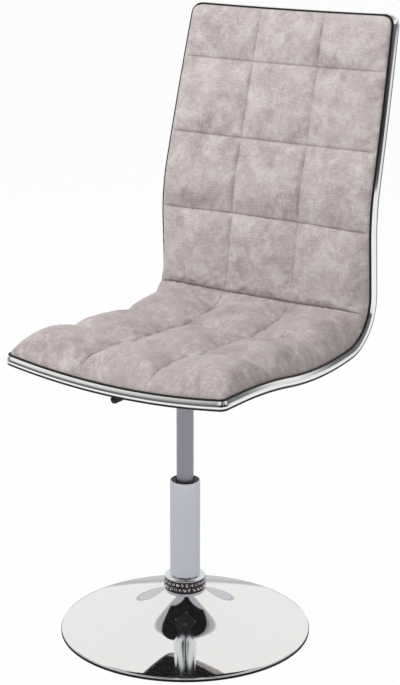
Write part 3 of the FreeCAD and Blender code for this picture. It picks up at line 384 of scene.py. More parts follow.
def closed_sheet(outer, inner, inverted=False):
    """Vertices and faces of a closed sheet between two faces of the same grid."""
    rows, columns = outer.shape[:2]
    under = rows * columns
    faces = []
    for row in range(rows - 1):
        for column in range(columns - 1):
            a = row * columns + column
            b, c, d = a + 1, a + columns + 1, a + columns
            faces += [(a, b, c, d), (a + under, d + under, c + under, b + under)]
    rim = list(range(columns))
    rim += [row * columns + columns - 1 for row in range(1, rows)]
    rim += [(rows - 1) * columns + column for column in range(columns - 2, -1, -1)]
    rim += [row * columns for row in range(rows - 2, 0, -1)]
    for a, b in zip(rim, rim[1:] + rim[:1]):
        faces.append((b, a, a + under, b + under))
    verts = np.concatenate([outer.reshape(-1, 3), inner.reshape(-1, 3)])
    return verts, [face[::-1] for face in faces] if inverted else faces


# Shader helpers

class Value:
    """A socket that takes part in plain arithmetic."""

    def __init__(self, finish, socket):
        self.finish = finish
        self.socket = socket

    def _math(self, operation, *values):
        sockets = dict(enumerate(values))
        return self.finish.add("ShaderNodeMath", {"operation": operation}, sockets)

    def __add__(self, other):
        return self._math("ADD", self, other)

    def __radd__(self, other):
        return self._math("ADD", other, self)

    def __sub__(self, other):
        return self._math("SUBTRACT", self, other)

    def __rsub__(self, other):
        return self._math("SUBTRACT", other, self)

    def __mul__(self, other):
        return self._math("MULTIPLY", self, other)

    def __rmul__(self, other):
        return self._math("MULTIPLY", other, self)

    def between(self, start, end):
        """0 below start, 1 above end, smooth between."""
        return self.finish.add("ShaderNodeMapRange", {"interpolation_type": "SMOOTHSTEP"},
                               {"Value": self, "From Min": start, "From Max": end})


class Finish:
    """A procedural material in the making, or the world's shader."""

    def __init__(self, name, world=None):
        self.material = world or bpy.data.materials.new(name)
        self.material.use_nodes = True
        self.tree = self.material.node_tree
        self.shader = self.tree.nodes["Background" if world else "Principled BSDF"]

    def add(self, kind, settings=None, sockets=None, output=0):
        """Any node: its settings first, then its sockets. Gives one output as a value."""
        node = self.tree.nodes.new(kind)
        for name, value in (settings or {}).items():
            if name == "stops":
                ramp = node.color_ramp
                while len(ramp.elements) < len(value):
                    ramp.elements.new(0.5)
                for element, (place, tone) in zip(ramp.elements, value):
                    element.position = place
                    element.color = (*tone, 1.0)
            else:
                setattr(node, name, value)
        for name, value in (sockets or {}).items():
            self.join(value, node.inputs[name])
        return Value(self, node.outputs[output])

    def join(self, value, socket):
        """Link a value to a socket, or set a plain number, colour or vector on it."""
        if isinstance(value, Value):
            self.tree.links.new(value.socket, socket)
        elif socket.type == "RGBA" and len(value) == 3:
            socket.default_value = (*value, 1.0)
        else:
            socket.default_value = value

    def place(self):
        """Where a point of the chair lies at rest, in metres."""
        return self.add("ShaderNodeTexCoord", output="Object")

    def along(self, vector, direction):
        """How far a vector reaches in a direction."""
        return self.add("ShaderNodeVectorMath", {"operation": "DOT_PRODUCT"},
                        {0: vector, 1: direction}, output=1)

    def ray(self, kind):
        """1 for rays of a kind, such as Is Camera Ray."""
        return self.add("ShaderNodeLightPath", output=kind)

    def stretched(self, vector, scale):
        """A vector scaled along its axes."""
        return self.add("ShaderNodeVectorMath", {"operation": "MULTIPLY"}, {0: vector, 1: scale})

    def cloud(self, vector, scale, detail=4.0, roughness=0.55, distortion=0.0):
        """Soft noise from 0 to 1."""
        return self.add("ShaderNodeTexNoise", {}, {
            "Vector": vector, "Scale": scale, "Detail": detail, "Roughness": roughness,
            "Distortion": distortion})

    def blend(self, share, first, second):
        """One colour over another."""
        return self.add("ShaderNodeMix", {"data_type": "RGBA"},
                        {0: share, 6: first, 7: second}, output=2)

    def relief(self, height, distance, strength=1.0):
        """A bump on the shader's normal."""
        bump = self.add("ShaderNodeBump", {}, {"Height": height, "Distance": distance,
                                              "Strength": strength})
        self.join(bump, self.shader.inputs["Normal"])

    def set(self, **sockets):
        """Values of the shader's own sockets, named with underscores for spaces."""
        for name, value in sockets.items():
            self.join(value, self.shader.inputs[name.replace("_", " ")])
        return self


made_finishes = {}


def finish(name):
    """The material of a finish, made once."""
    if name not in made_finishes:
        tones = bpy.context.scene.chair_finishes
        if name in METALS:
            made_finishes[name] = polished(getattr(tones, name), *METALS[name])
        elif name in COATINGS:
            tone, *grain = COATINGS[name]
            made_finishes[name] = coated(name, tone or tones.black, *grain)
        else:
            made_finishes[name] = FINISHES[name](tones)
    return made_finishes[name]


# Way along the side line where the seat's cloth ends and the back's begins
SEAT_CLOTH_END = 0.436


def suede(tones):
    """Mottled suede-like microfibre: clouds, brown patches, pale rubbed strokes and a fine nap,
    with painted shade that draws the seat's cloth darker than the back's.
    """
    f = Finish("suede")
    cloth = f.add("ShaderNodeAttribute", {"attribute_name": "cloth_place"}, output=1)
    clouds = f.cloud(cloth, 24.0, 6.0, 0.68, 0.3)
    patches = f.cloud(f.stretched(cloth, (1.0, 1.25, 1.0)), 11.0, 4.0, 0.6, 0.4)
    strokes = f.cloud(f.stretched(cloth, (190.0, 45.0, 1.0)), 1.0, 3.0, 0.7)
    cross = f.cloud(f.stretched(cloth, (75.0, 380.0, 1.0)), 1.0, 2.0, 0.6)
    down = f.cloud(f.stretched(cloth, (420.0, 85.0, 1.0)), 1.0, 2.0, 0.6)
    grain = f.cloud(cloth, 620.0, 3.0, 0.7)
    pale = clouds.between(0.42, 0.70) * 0.50 + strokes.between(0.55, 0.75) * 0.42
    brown = patches.between(0.48, 0.70) * 0.50 + (1 - clouds.between(0.30, 0.50)) * 0.35
    thread = (cross - 0.5) * 0.75 + (down - 0.5) * 0.75 + (grain - 0.5) * 0.60
    along = f.add("ShaderNodeSeparateXYZ", {}, {0: cloth}, output=1)
    # Painted shade: the seat's cloth, before SEAT_CLOTH_END, is drawn browner and less pale than
    # the back's.
    seat_painted_shade = 1 - along.between(SEAT_CLOTH_END - 0.002, SEAT_CLOTH_END + 0.002)
    tone = f.blend(brown + thread + seat_painted_shade * 0.16, tones.suede_mid, tones.suede_dark)
    tone = f.blend(pale - thread - seat_painted_shade * 0.10, tone, tones.suede_light)
    f.set(Base_Color=tone, Roughness=0.92 - pale * 0.08, Specular_IOR_Level=0.22,
          Sheen_Weight=0.35, Sheen_Roughness=0.45, Sheen_Tint=(0.95, 0.90, 0.88))
    f.relief(cross * 0.5 + down * 0.5 + grain * 0.4 + strokes * 0.5, 0.0005, 0.55)
    return f.material


# Name, roughness and smudges of each metal
METALS = {"chrome": ("polished_chrome", 0.018, 0.03), "satin": ("satin_silver", 0.15, 0.04)}


def polished(tone, name, roughness, smudge):
    """Polished or satin metal with faint smudges."""
    f = Finish(name)
    spots = f.cloud(f.place(), 38.0, 4.0, 0.6)
    hairs = f.cloud(f.stretched(f.place(), (1.0, 1.0, 60.0)), 30.0, 3.0, 0.6)
    f.set(Base_Color=tone, Metallic=1.0,
          Roughness=roughness + (spots * 0.6 + hairs * 0.4) * smudge)
    return f.material


def cylinder_grey(tones):
    """Satin grey coating of the gas cylinder, with faint lengthwise drawing lines."""
    f = Finish("cylinder_grey")
    lines = f.cloud(f.stretched(f.place(), (900.0, 900.0, 6.0)), 1.0, 3.0, 0.6)
    f.set(Base_Color=f.blend(lines, tones.cylinder_grey, [c * 1.25 for c in tones.cylinder_grey]),
          Metallic=0.75, Roughness=0.34 + lines * 0.1)
    f.relief(lines, 0.00005, 0.4)
    return f.material


# Tone (None for the common black), roughness, size and depth of the grain, metal, coat, shine
COATINGS = {
    "piping_leather": (None, 0.42, 1400.0, 0.0002, 0.0, 0.0, 0.25),
    "powder_black": (None, 0.42, 1800.0, 0.00012, 0.0, 0.1, 0.5),
    "moulded_black": (None, 0.5, 1100.0, 0.0001, 0.0, 0.0, 0.5),
    "black_rubber": (None, 0.72, 900.0, 0.0002, 0.0, 0.0, 0.2),
    "bright_steel": ((0.52, 0.52, 0.53), 0.32, 300.0, 0.00006, 1.0, 0.0, 0.5),
    "collar_band": ((0.045, 0.030, 0.026), 0.28, 500.0, 0.00006, 0.6, 0.0, 0.5),
}


def coated(name, tone, roughness, scale, depth, metallic, coat, shine):
    """A plain coloured finish with a fine grain in tone, gloss and relief."""
    f = Finish(name)
    fine = f.cloud(f.place(), scale, 4.0, 0.6)
    broad = f.cloud(f.place(), 24.0, 3.0, 0.5)
    worn = f.blend(fine * 0.5 + broad * 0.5, [c * 0.75 for c in tone],
                   [min(c * 1.35, 1.0) for c in tone])
    f.set(Base_Color=worn, Metallic=metallic, Roughness=roughness + (broad - 0.5) * 0.16,
          Coat_Weight=coat, Specular_IOR_Level=shine)
    f.relief(fine, depth, 0.6)
    return f.material


def black_cloth(tones):
    """Plain black non-woven cloth with its pressed dots."""
    f = Finish("black_cloth")
    dots = f.add("ShaderNodeTexVoronoi", {}, {"Vector": f.place(), "Scale": 520.0})
    felt = f.cloud(f.place(), 700.0, 4.0, 0.7)
    tone = f.blend(felt, tones.black, [c * 2.6 for c in tones.black])
    f.set(Base_Color=tone, Roughness=0.9, Specular_IOR_Level=0.2)
    f.relief(dots * 0.6 + felt * 0.4, 0.0003, 0.7)
    return f.material


def cut_stone(tones):
    """Clear cut stones on a metallic foil: dark, with painted glints as random white spots in their
    colour.
    """
    f = Finish("cut_stone")
    painted_glint = f.cloud(f.place(), 420.0, 2.0, 0.5)
    # Painted glints: white spots in the stones' colour where the noise is high.
    tone = f.blend(painted_glint.between(0.48, 0.58), (0.10, 0.075, 0.07), (1.0, 1.0, 1.0))
    f.set(Base_Color=tone, Metallic=0.55, Roughness=0.04 + painted_glint * 0.05, Coat_Weight=1.0,
          Coat_Roughness=0.02)
    return f.material


def plywood(tones):
    """Edge and face of moulded birch plywood."""
    f = Finish("plywood")
    layers = f.add("ShaderNodeTexWave", {"bands_direction": "Z"},
                   {"Vector": f.place(), "Scale": 110.0, "Distortion": 1.5, "Detail": 2.0})
    fibre = f.cloud(f.stretched(f.place(), (12.0, 12.0, 260.0)), 3.0, 4.0, 0.6)
    tone = f.blend(layers * 0.5 + fibre * 0.5, (0.42, 0.27, 0.14), (0.66, 0.50, 0.31))
    f.set(Base_Color=tone, Roughness=0.62 + fibre * 0.12)
    f.relief(fibre, 0.0002, 0.5)
    return f.material


def thread(tones):
    """Sewing thread, a little darker than the cloth."""
    f = Finish("sewing_thread")
    twist = f.cloud(f.place(), 2600.0, 2.0, 0.6)
    f.set(Base_Color=f.blend(twist, tones.suede_dark, tones.suede_mid), Roughness=0.7)
    return f.material


FINISHES = {"suede": suede, "cylinder_grey": cylinder_grey, "black_cloth": black_cloth,
            "cut_stone": cut_stone, "plywood": plywood, "thread": thread}


# Quilted cushions

# Heights over the shell, and widths, in metres
EDGE_RISE = 0.0026
BASE_RISE = 0.0006
PAD_INSET = 0.0042
PAD_GAP = 0.00015
SEAM_PUCKER = 0.0015
SIDE_TUCK = 0.001
SEAM_SWELL = 0.003
SWELL_PUFF = 0.012
CREASE_DROP = 0.009
CREASE_ROLL = 0.020
CREASE_WIDTH = 0.0016
VALLEY_WIDTH = 0.006
CALM_EDGE = 0.012

# Shares and exponents of the cushion's curves
FULLNESS = 0.65
OPEN_SHARE = 0.86
SIDE_SPREAD = 0.78
FALL_START = 0.35
FALL_CURVE = 3.0
FALL_ROUND = 0.55
VALLEY_SHARE = 0.7

# Unevenness of the cloth, wide and small: how fine and how deep
WIDE_FOLDS = (26.0, 0.0007)
SMALL_FOLDS = (90.0, 0.0002)
SMALL_SHIFT = Vector((7.0, 3.0, 1.0))

# Puckers beside a seam: how fine along it and away from it, their reach and their depth
PUCKER_ALONG, PUCKER_AWAY = 150.0, 34.0
CROSS_PUCKER = (0.010, 0.0008)
LENGTH_PUCKER = (0.014, 0.0015)

# Distances of the extra mesh lines from a seam
SEAM_STEPS = (0.0005, 0.0012, 0.0022, 0.0036)

# The cloth simulation
CLOTH_SPACING = 0.0065
CLOTH_FRAMES = 20
CLOTH = {"quality": 6, "mass": 0.25, "tension_stiffness": 12, "compression_stiffness": 6,
         "shear_stiffness": 5, "bending_stiffness": 0.4, "vertex_group_mass": "held",
         "use_pressure": True}

# The sewing: distance between stitches, their length and their radius
STITCH_PITCH = 0.0045
STITCH_LENGTH = 0.0034
STITCH_RADIUS = 0.00032
STITCH_SIDES = 6
STITCH_RINGS = ((0.0, 0.35, -0.4), (0.15, 0.9, 0.2), (0.5, 1.0, 0.5), (0.85, 0.9, 0.2),
                (1.0, 0.35, -0.4))


def arc_heights(across, first, middle, last):
    """Heights of the arc through three points, for an array of places across."""
    (ax, ay), (bx, by), (cx, cy) = first, middle, last
    turn = 2 * (ax * (by - cy) + bx * (cy - ay) + cx * (ay - by))
    if abs(turn) < 1e-9:
        return ay + (cy - ay) * (across - ax) / (cx - ax)
    squares = [x * x + y * y for x, y in (first, middle, last)]
    centre_x = (squares[0] * (by - cy) + squares[1] * (cy - ay) + squares[2] * (ay - by)) / turn
    centre_y = (squares[0] * (cx - bx) + squares[1] * (ax - cx) + squares[2] * (bx - ax)) / turn
    radius = math.hypot(ax - centre_x, ay - centre_y)
    side = 1.0 if by > centre_y else -1.0
    return centre_y + side * np.sqrt(np.maximum(radius ** 2 - (across - centre_x) ** 2, 0.0))


def bullnose(share):
    """A rounded rise from 0 to 1, steep at its start."""
    share = min(max(share, 0.0), 1.0)
    return (1 - (1 - share) ** 2.2) ** 0.5


class Cushion:
    """One quilted cushion: its fields between cross seams and lengthwise seams."""

    def __init__(self, form, quilting, ways, heights, puff, roll, length_seam):
        self.form = form
        self.ways = ways
        self.heights = heights
        self.puff = puff
        self.roll = roll
        self.length_seam = length_seam
        self.seam_share = quilting.column / 2 / form.half
        self.crease = quilting.crease
        self.spacing = quilting.spacing

    def rolled(self, way):
        """Share of the full height near an open end, where the cushion curls to the piping."""
        share = 1.0
        if self.heights[0] <= EDGE_RISE:
            share *= bullnose((way - self.ways[0]) / self.roll)
        if self.heights[-1] <= EDGE_RISE:
            share *= bullnose((self.ways[-1] - way) / self.roll)
        return share

    def sunk(self, way):
        """How deep the cushion rolls down into the crease between seat and back."""
        closed = self.ways[0] if self.heights[-1] <= EDGE_RISE else self.ways[-1]
        return CREASE_DROP * (1 - bullnose(abs(way - closed) / CREASE_ROLL))

    def rise(self, across, way):
        """Height of the cushion's face over the shell, for an array of places across."""
        row = sum(1 for seam in self.ways[1:-1] if way > seam)
        share = (way - self.ways[row]) / (self.ways[row + 1] - self.ways[row])
        share = min(max(share, 0.0), 1.0)
        first, last = self.heights[row], self.heights[row + 1]
        first, last = (last * OPEN_SHARE if first <= EDGE_RISE else first,
                       first * OPEN_SHARE if last <= EDGE_RISE else last)
        swell = 4 * share * (1 - share) * SEAM_SWELL * (self.puff / SWELL_PUFF)
        seam = first + (last - first) * share + swell
        puff = SEAM_PUCKER + (self.puff - SEAM_PUCKER) * math.sin(math.pi * share) ** FULLNESS
        roll = self.rolled(way)
        seam, puff = EDGE_RISE + (seam - EDGE_RISE) * roll, puff * roll
        half = self.form.half_at(way) - PAD_INSET
        seam_at = self.seam_share * half
        place = np.abs(across)
        inner = arc_heights(place, (seam_at, seam), (0.0, seam + puff), (-seam_at, seam))
        out = np.clip((place - seam_at) / (half - seam_at), 0.0, 1.0)
        field = np.sin(math.pi * np.minimum(out * SIDE_SPREAD, 0.5)) ** FULLNESS
        far = np.clip((out - FALL_START) / (1 - FALL_START), 0.0, 1.0)
        fall = (1 - far ** FALL_CURVE) ** FALL_ROUND
        outer = EDGE_RISE + (seam + (puff - SIDE_TUCK * roll) * field - EDGE_RISE) * fall
        crease = self.sunk(way) * np.where(place < seam_at, 1.0, 1 - out ** 4)
        return np.where(place < seam_at, inner, outer) - crease

    def lines(self, spacing, fine):
        """Mesh lines across (as shares of the half width) and along, closer beside the seams."""
        steps = SEAM_STEPS if fine else ()
        half = self.form.half
        shares = graded(-1.0, 1.0, spacing / half, (-self.seam_share, self.seam_share),
                        [step / half for step in steps])
        inner_ways = graded(self.ways[0], self.ways[-1], spacing, self.ways[1:-1], steps)
        return shares, inner_ways

    def sheet(self, shares, ways, rise):
        """Places over the shell on a grid, row by row, at rises that a function gives."""
        rows = []
        for way in ways:
            across = shares * self.form.row_half(way, PAD_INSET)
            rows.append(self.form.points(across, way, rise(across, way)))
        return np.array(rows)

    def face(self, shares, ways):
        """The cushion's upper face."""
        return self.sheet(shares, ways, self.rise)

    def closed_mesh(self, shares, ways, face):
        """Vertices and faces of the closed cushion over its flat underside."""
        under = self.sheet(shares, ways, lambda across, way: np.full(len(across), BASE_RISE))
        return closed_sheet(face, under)

    def seam_columns(self, shares):
        """The mesh lines of the two lengthwise seams."""
        return [int(np.argmin(np.abs(shares - share)))
                for share in (-self.seam_share, self.seam_share)]


def graded(first, last, spacing, seams, steps):
    """Even lines from first to last, with extra ones beside each seam."""
    edges = [first, *seams, last]
    places = [first]
    for start, end in zip(edges, edges[1:]):
        near = [start + step for step in steps] if start != first else []
        far = [end - step for step in reversed(steps)] if end != last else []
        low_end = near[-1] if near else start
        high_end = far[0] if far else end
        count = max(int(round((high_end - low_end) / spacing)), 2)
        even = list(np.linspace(low_end, high_end, count + 1))
        places += near[:-1] + (even if near else even[1:]) + far[1:] + ([end] if far else [])
    return np.array(places)


def swollen(cushion, name, pressure, slack, cap):
    """How far cloth pinned at its seams swells over the cushion's face, by simulation."""
    shares, ways = cushion.lines(CLOTH_SPACING, False)
    face = cushion.face(shares, ways)
    verts, faces = cushion.closed_mesh(shares, ways, face)
    mesh = bpy.data.meshes.new(name)
    mesh.from_pydata([tuple(v) for v in verts], [], faces)
    mesh.update()
    cloth = bpy.data.objects.new(name, mesh)
    bpy.context.scene.collection.objects.link(cloth)
    rows, columns = len(ways), len(shares)
    held = set(range(rows * columns, 2 * rows * columns))
    for row in range(rows):
        held.update(row * columns + column
                    for column in cushion.seam_columns(shares) + [0, columns - 1])
    for way in cushion.ways:
        row = int(np.argmin(np.abs(ways - way)))
        held.update(range(row * columns, (row + 1) * columns))
    cloth.vertex_groups.new(name="held").add(sorted(held), 1.0, "REPLACE")
    modifier = cloth.modifiers.new("Cloth", "CLOTH")
    for setting, value in CLOTH.items():
        setattr(modifier.settings, setting, value)
    modifier.settings.uniform_pressure_force = pressure
    modifier.settings.shrink_min = -slack
    modifier.settings.effector_weights.gravity = 0.0
    modifier.collision_settings.use_collision = False
    for step in range(CLOTH_FRAMES):
        bpy.context.scene.frame_set(step + 1)
    evaluated = cloth.evaluated_get(bpy.context.evaluated_depsgraph_get())
    after = np.array([v.co for v in evaluated.data.vertices])[:rows * columns]
    moved = after.reshape(face.shape) - face
    reach = np.linalg.norm(moved, axis=-1, keepdims=True)
    moved *= np.minimum(1.0, cap / np.maximum(reach, 1e-9))
    bpy.data.objects.remove(cloth)
    bpy.data.meshes.remove(mesh)
    bpy.context.scene.frame_set(1)
    return shares, ways, moved


def spread(places, known):
    """Weights that carry values from known places to others along smooth cubic curves."""
    weights = np.zeros((len(places), len(known)))
    for index, place in enumerate(places):
        right = int(np.clip(np.searchsorted(known, place), 1, len(known) - 1))
        left = right - 1
        t = min(max((place - known[left]) / (known[right] - known[left]), 0.0), 1.0)
        cubic = (-0.5 * t + t * t - 0.5 * t ** 3, 1 - 2.5 * t * t + 1.5 * t ** 3,
                 0.5 * t + 2 * t * t - 1.5 * t ** 3, -0.5 * t * t + 0.5 * t ** 3)
        for step, weight in zip((-1, 0, 1, 2), cubic):
            weights[index, min(max(left + step, 0), len(known) - 1)] += weight
    return weights


def seam_relief(cushion, shares, ways):
    """Creases of the sewn seams, their puckers and the hand-made unevenness, as rises."""
    relief = np.zeros((len(ways), len(shares)))
    first, *crosses, last = cushion.ways
    for row, way in enumerate(ways):
        half = cushion.form.half_at(way) - PAD_INSET
        across = shares * cushion.form.row_half(way, PAD_INSET)
        cross = min(abs(way - seam) for seam in crosses)
        lengthwise = np.abs(np.abs(across) - cushion.seam_share * half)
        open_edge = np.minimum(half - np.abs(across), min(way - first, last - way))
        calm = np.clip(open_edge / CALM_EDGE, 0.0, 1.0)
        for distance, depth in ((cross, 1.0), (lengthwise, cushion.length_seam)):
            relief[row] -= cushion.crease * calm * (
                depth * np.exp(-(distance / CREASE_WIDTH) ** 2)
                + VALLEY_SHARE * np.exp(-distance / VALLEY_WIDTH))
        for column, x in enumerate(across):
            spot = Vector((x, way, 0.0))
            wide = noise.noise(spot * WIDE_FOLDS[0]) * WIDE_FOLDS[1]
            small = noise.noise(spot * SMALL_FOLDS[0] + SMALL_SHIFT) * SMALL_FOLDS[1]
            pucker = 0.0
            for place, distance, (reach, depth) in (
                    ((x * PUCKER_ALONG, way * PUCKER_AWAY, 4.0), cross, CROSS_PUCKER),
                    ((x * PUCKER_AWAY, way * PUCKER_ALONG, 9.0), lengthwise[column],
                     LENGTH_PUCKER)):
                pucker += noise.noise(Vector(place)) * math.exp(-distance / reach) * depth
            relief[row, column] += (wide + small + pucker) * calm[column]
    return relief


def build_cushion(cushion, name, node, pressure, slack, cap):
    """A cushion in its final mesh, with the stitches of its seams."""
    coarse_shares, coarse_ways, moved = swollen(cushion, name + "_cloth", pressure, slack, cap)
    shares, ways = cushion.lines(cushion.spacing, True)
    weights = spread(ways, coarse_ways), spread(shares, coarse_shares)
    face = cushion.face(shares, ways) + np.einsum("ri,cj,ijk->rck", *weights, moved)
    relief = seam_relief(cushion, shares, ways)
    for row, way in enumerate(ways):
        face[row] += relief[row][:, None] * cushion.form.upward(way)
    verts, faces = cushion.closed_mesh(shares, ways, face)
    made = piece(name + "_cushion", verts, faces, finish("suede"), "seat", 60)
    mark_cloth(made, cushion.form, shares, ways)
    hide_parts(node)
    sew_seams(name + "_stitches", cushion, shares, ways, face)


def mark_cloth(made, form, shares, ways):
    """Remember where each point of both sides lies on the flat cloth, for its pattern."""
    flat = []
    for depth in (0.0, 0.7):
        for way in ways:
            half = form.half_at(way)
            flat += [(share * half, way, depth) for share in shares]
    marks = made.data.attributes.new("cloth_place", "FLOAT_VECTOR", "POINT")
    marks.data.foreach_set("vector", np.array(flat, np.float32).ravel())


def stitch_row(line, normals):
    """Small sewn stitches laid along a line of places."""
    verts, faces = [], []
    steps = np.linalg.norm(np.diff(line, axis=0), axis=1)
    passed = np.concatenate([[0.0], np.cumsum(steps)])

    def at(values, way):
        return Vector([np.interp(way, passed, values[:, k]) for k in range(3)])

    for start in np.arange(STITCH_PITCH, passed[-1] - STITCH_PITCH, STITCH_PITCH):
        first, last = at(line, start), at(line, start + STITCH_LENGTH)
        up = at(normals, start).normalized()
        beside = (last - first).normalized().cross(up).normalized()
        base = len(verts)
        for share, girth, rise in STITCH_RINGS:
            centre = first * (1 - share) + last * share + up * rise * STITCH_RADIUS
            for side in range(STITCH_SIDES):
                turn = 2 * math.pi * side / STITCH_SIDES
                out = beside * math.cos(turn) + up * math.sin(turn)
                verts.append(centre + out * STITCH_RADIUS * girth)
        rings = [list(range(base + ring * STITCH_SIDES, base + (ring + 1) * STITCH_SIDES))
                 for ring in range(len(STITCH_RINGS))]
        for here, after in zip(rings, rings[1:]):
            for side in range(STITCH_SIDES):
                beyond = (side + 1) % STITCH_SIDES
                faces.append((here[side], here[beyond], after[beyond], after[side]))
        faces += [rings[0][::-1], rings[-1]]
    return verts, faces


def sew_seams(name, cushion, shares, ways, face):
    """The stitches of all the seams of one cushion, as one piece."""
    verts, faces = [], []
    normals = np.array([[cushion.form.upward(way)] * len(shares) for way in ways])
    rows = [int(np.argmin(np.abs(ways - way))) for way in cushion.ways[1:-1]]
    lines = [(face[row], normals[row]) for row in rows]
    lines += [(face[:, column], normals[:, column]) for column in cushion.seam_columns(shares)]
    for line, lift in lines:
        offset = len(verts)
        some_verts, some_faces = stitch_row(line, lift)
        verts += some_verts
        faces += [[index + offset for index in corners] for corners in some_faces]
    piece(name, verts, faces, finish("thread"), "seat", 60)


def seat_cushion(form, quilting):
    """The seat's cushion: three rows of three strongly puffed fields."""
    ways = [PAD_INSET]
    for row in (quilting.row_1, quilting.row_2, quilting.row_3):
        ways.append(ways[-1] + row)
    ways[-1] -= PAD_GAP
    return Cushion(form, quilting, ways, heights=[EDGE_RISE, 0.027, 0.036, 0.033],
                   puff=quilting.seat_puff, roll=0.034, length_seam=0.6)


def back_cushion(form, quilting):
    """The back's cushion: four rows of three flatter fields."""
    start = PAD_INSET + quilting.row_1 + quilting.row_2 + quilting.row_3
    ways = [start + PAD_GAP, start + quilting.back_row_1]
    for row in (quilting.back_row_2, quilting.back_row_3):
        ways.append(ways[-1] + row)
    ways.append(form.length - PAD_INSET)
    return Cushion(form, quilting, ways, heights=[0.033, 0.009, 0.006, 0.005, EDGE_RISE],
                   puff=quilting.back_puff, roll=0.016, length_seam=0.3)


# Operators

def seat_form(context):
    """The seat's form from the panel's sizes."""
    return SeatForm(context.scene.chair_line)


class CHAIR_OT_seat_cushion(bpy.types.Operator):
    """Sew the seat's cushion"""

    bl_idname = "chair.seat_cushion"
    bl_label = "Seat Cushion"

    def execute(self, context):
        cushion = seat_cushion(seat_form(context), context.scene.chair_quilting)
        build_cushion(cushion, "seat", "seat_pad", pressure=3.0, slack=0.03, cap=0.004)
        return {"FINISHED"}


class CHAIR_OT_back_cushion(bpy.types.Operator):
    """Sew the back's cushion"""

    bl_idname = "chair.back_cushion"
    bl_label = "Back Cushion"

    def execute(self, context):
        cushion = back_cushion(seat_form(context), context.scene.chair_quilting)
        build_cushion(cushion, "back", "back_pad", pressure=1.5, slack=0.02, cap=0.0025)
        return {"FINISHED"}


# Profiles at the seat's edge: (outward, rise) of a middle, or (outward, rise, radius) of a corner
PIPING_PLACE = (-0.0024, -0.0002)
UNDERLINE_PLACE = (-0.0004, -0.0150)
UNDERLINE_RADIUS = 0.0018
TRIM_CORNERS = (
    (-0.0050, -0.00200, 0.0002), (-0.0050, -0.01395, 0.0004), (0.0008, -0.01395, 0.0010),
    (0.0021, -0.01235, 0.0012), (0.0020, -0.00975, 0.0014), (0.0011, -0.00655, 0.0016),
    (-0.0019, -0.00130, 0.0005), (-0.0023, -0.00100, 0.0002))


class CHAIR_OT_edge(bpy.types.Operator):
    """Lay the black piping, the chrome trim and a black round strip under it round the seat"""

    bl_idname = "chair.edge"
    bl_label = "Piping and Trim"

    def execute(self, context):
        form = seat_form(context)
        leather = finish("piping_leather")
        piping = edge_sweep("black_piping", form,
                            round_profile(*PIPING_PLACE, context.scene.chair_quilting.piping, 12),
                            leather, 80)
        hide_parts("edge_piping")
        trim = edge_sweep("edge_trim", form, softened(TRIM_CORNERS, 6)[::-1], finish("chrome"),
                          50)
        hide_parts("chrome_rim")
        # A black round strip along the trim's lower edge.
        edge_sweep("trim_underline_strip", form, round_profile(*UNDERLINE_PLACE, UNDERLINE_RADIUS, 10), leather,
                   80)
        return {"FINISHED"}


# The two covers under the shell: where they meet, their margin, inner rise, edge roll and mesh
COVER_SPLIT = 0.372
COVER_INSET = 0.00508
COVER_INNER = -0.0103
COVER_ROLL = 0.012
COVER_SPACING = 0.008
COVER_COLUMNS = 61
COVER_END_STEPS = (0.001, 0.003, 0.006, 0.010)
# Rise of each cover's outer face, and how far it is crowned
REAR_FACE = (-0.0128, 0.0014)
UNDER_FACE = (-0.0150, 0.0007)


def panel_sheet(name, node, form, first, last, outer_rise, crown, material, node_slot):
    """A thin dished cover on the shell's far side, its outer face slightly crowned."""
    ways = np.linspace(first, last, int((last - first) / COVER_SPACING) + 2)
    ways = np.unique(np.concatenate([ways, last - np.array(COVER_END_STEPS)]))
    shares = np.linspace(-1.0, 1.0, COVER_COLUMNS)
    inner, outer = [], []
    for way in ways:
        across = shares * form.row_half(way, COVER_INSET)
        edge = np.minimum((1 - np.abs(shares)) * form.half, min(way - first, last - way))
        bulge = crown * (1 - np.exp(-np.maximum(edge, 0.0) / COVER_ROLL))
        inner.append(form.points(across, way, np.full(len(shares), COVER_INNER)))
        outer.append(form.points(across, way, outer_rise - bulge))
    verts, faces = closed_sheet(np.array(outer), np.array(inner), inverted=True)
    made = piece(name, verts, faces, material, "seat", 50)
    mark_cloth(made, form, shares, ways)
    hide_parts(node)


class CHAIR_OT_covers(bpy.types.Operator):
    """Stretch the covers over the shell's back and underside"""

    bl_idname = "chair.covers"
    bl_label = "Covers"

    def execute(self, context):
        form = seat_form(context)
        panel_sheet("rear_panel", "back_cover", form, COVER_SPLIT + PAD_GAP,
                    form.length - COVER_INSET, *REAR_FACE, finish("suede"), "seat_fabric")
        panel_sheet("underside_panel", "underside_cover", form, COVER_INSET,
                    COVER_SPLIT - PAD_GAP, *UNDER_FACE, finish("black_cloth"), "black_fabric")
        return {"FINISHED"}


# Small roundings of the base's rim, the lip of its rubber ring, and steps round both
BASE_STEPS = 256
RIM_ROUND = 0.0012
RIM_EDGE = 0.0004
RIM_CROWN = 0.0002
RING_LIP = 0.0007
RING_WRAP = 0.0011
RING_ROUND = 0.0008


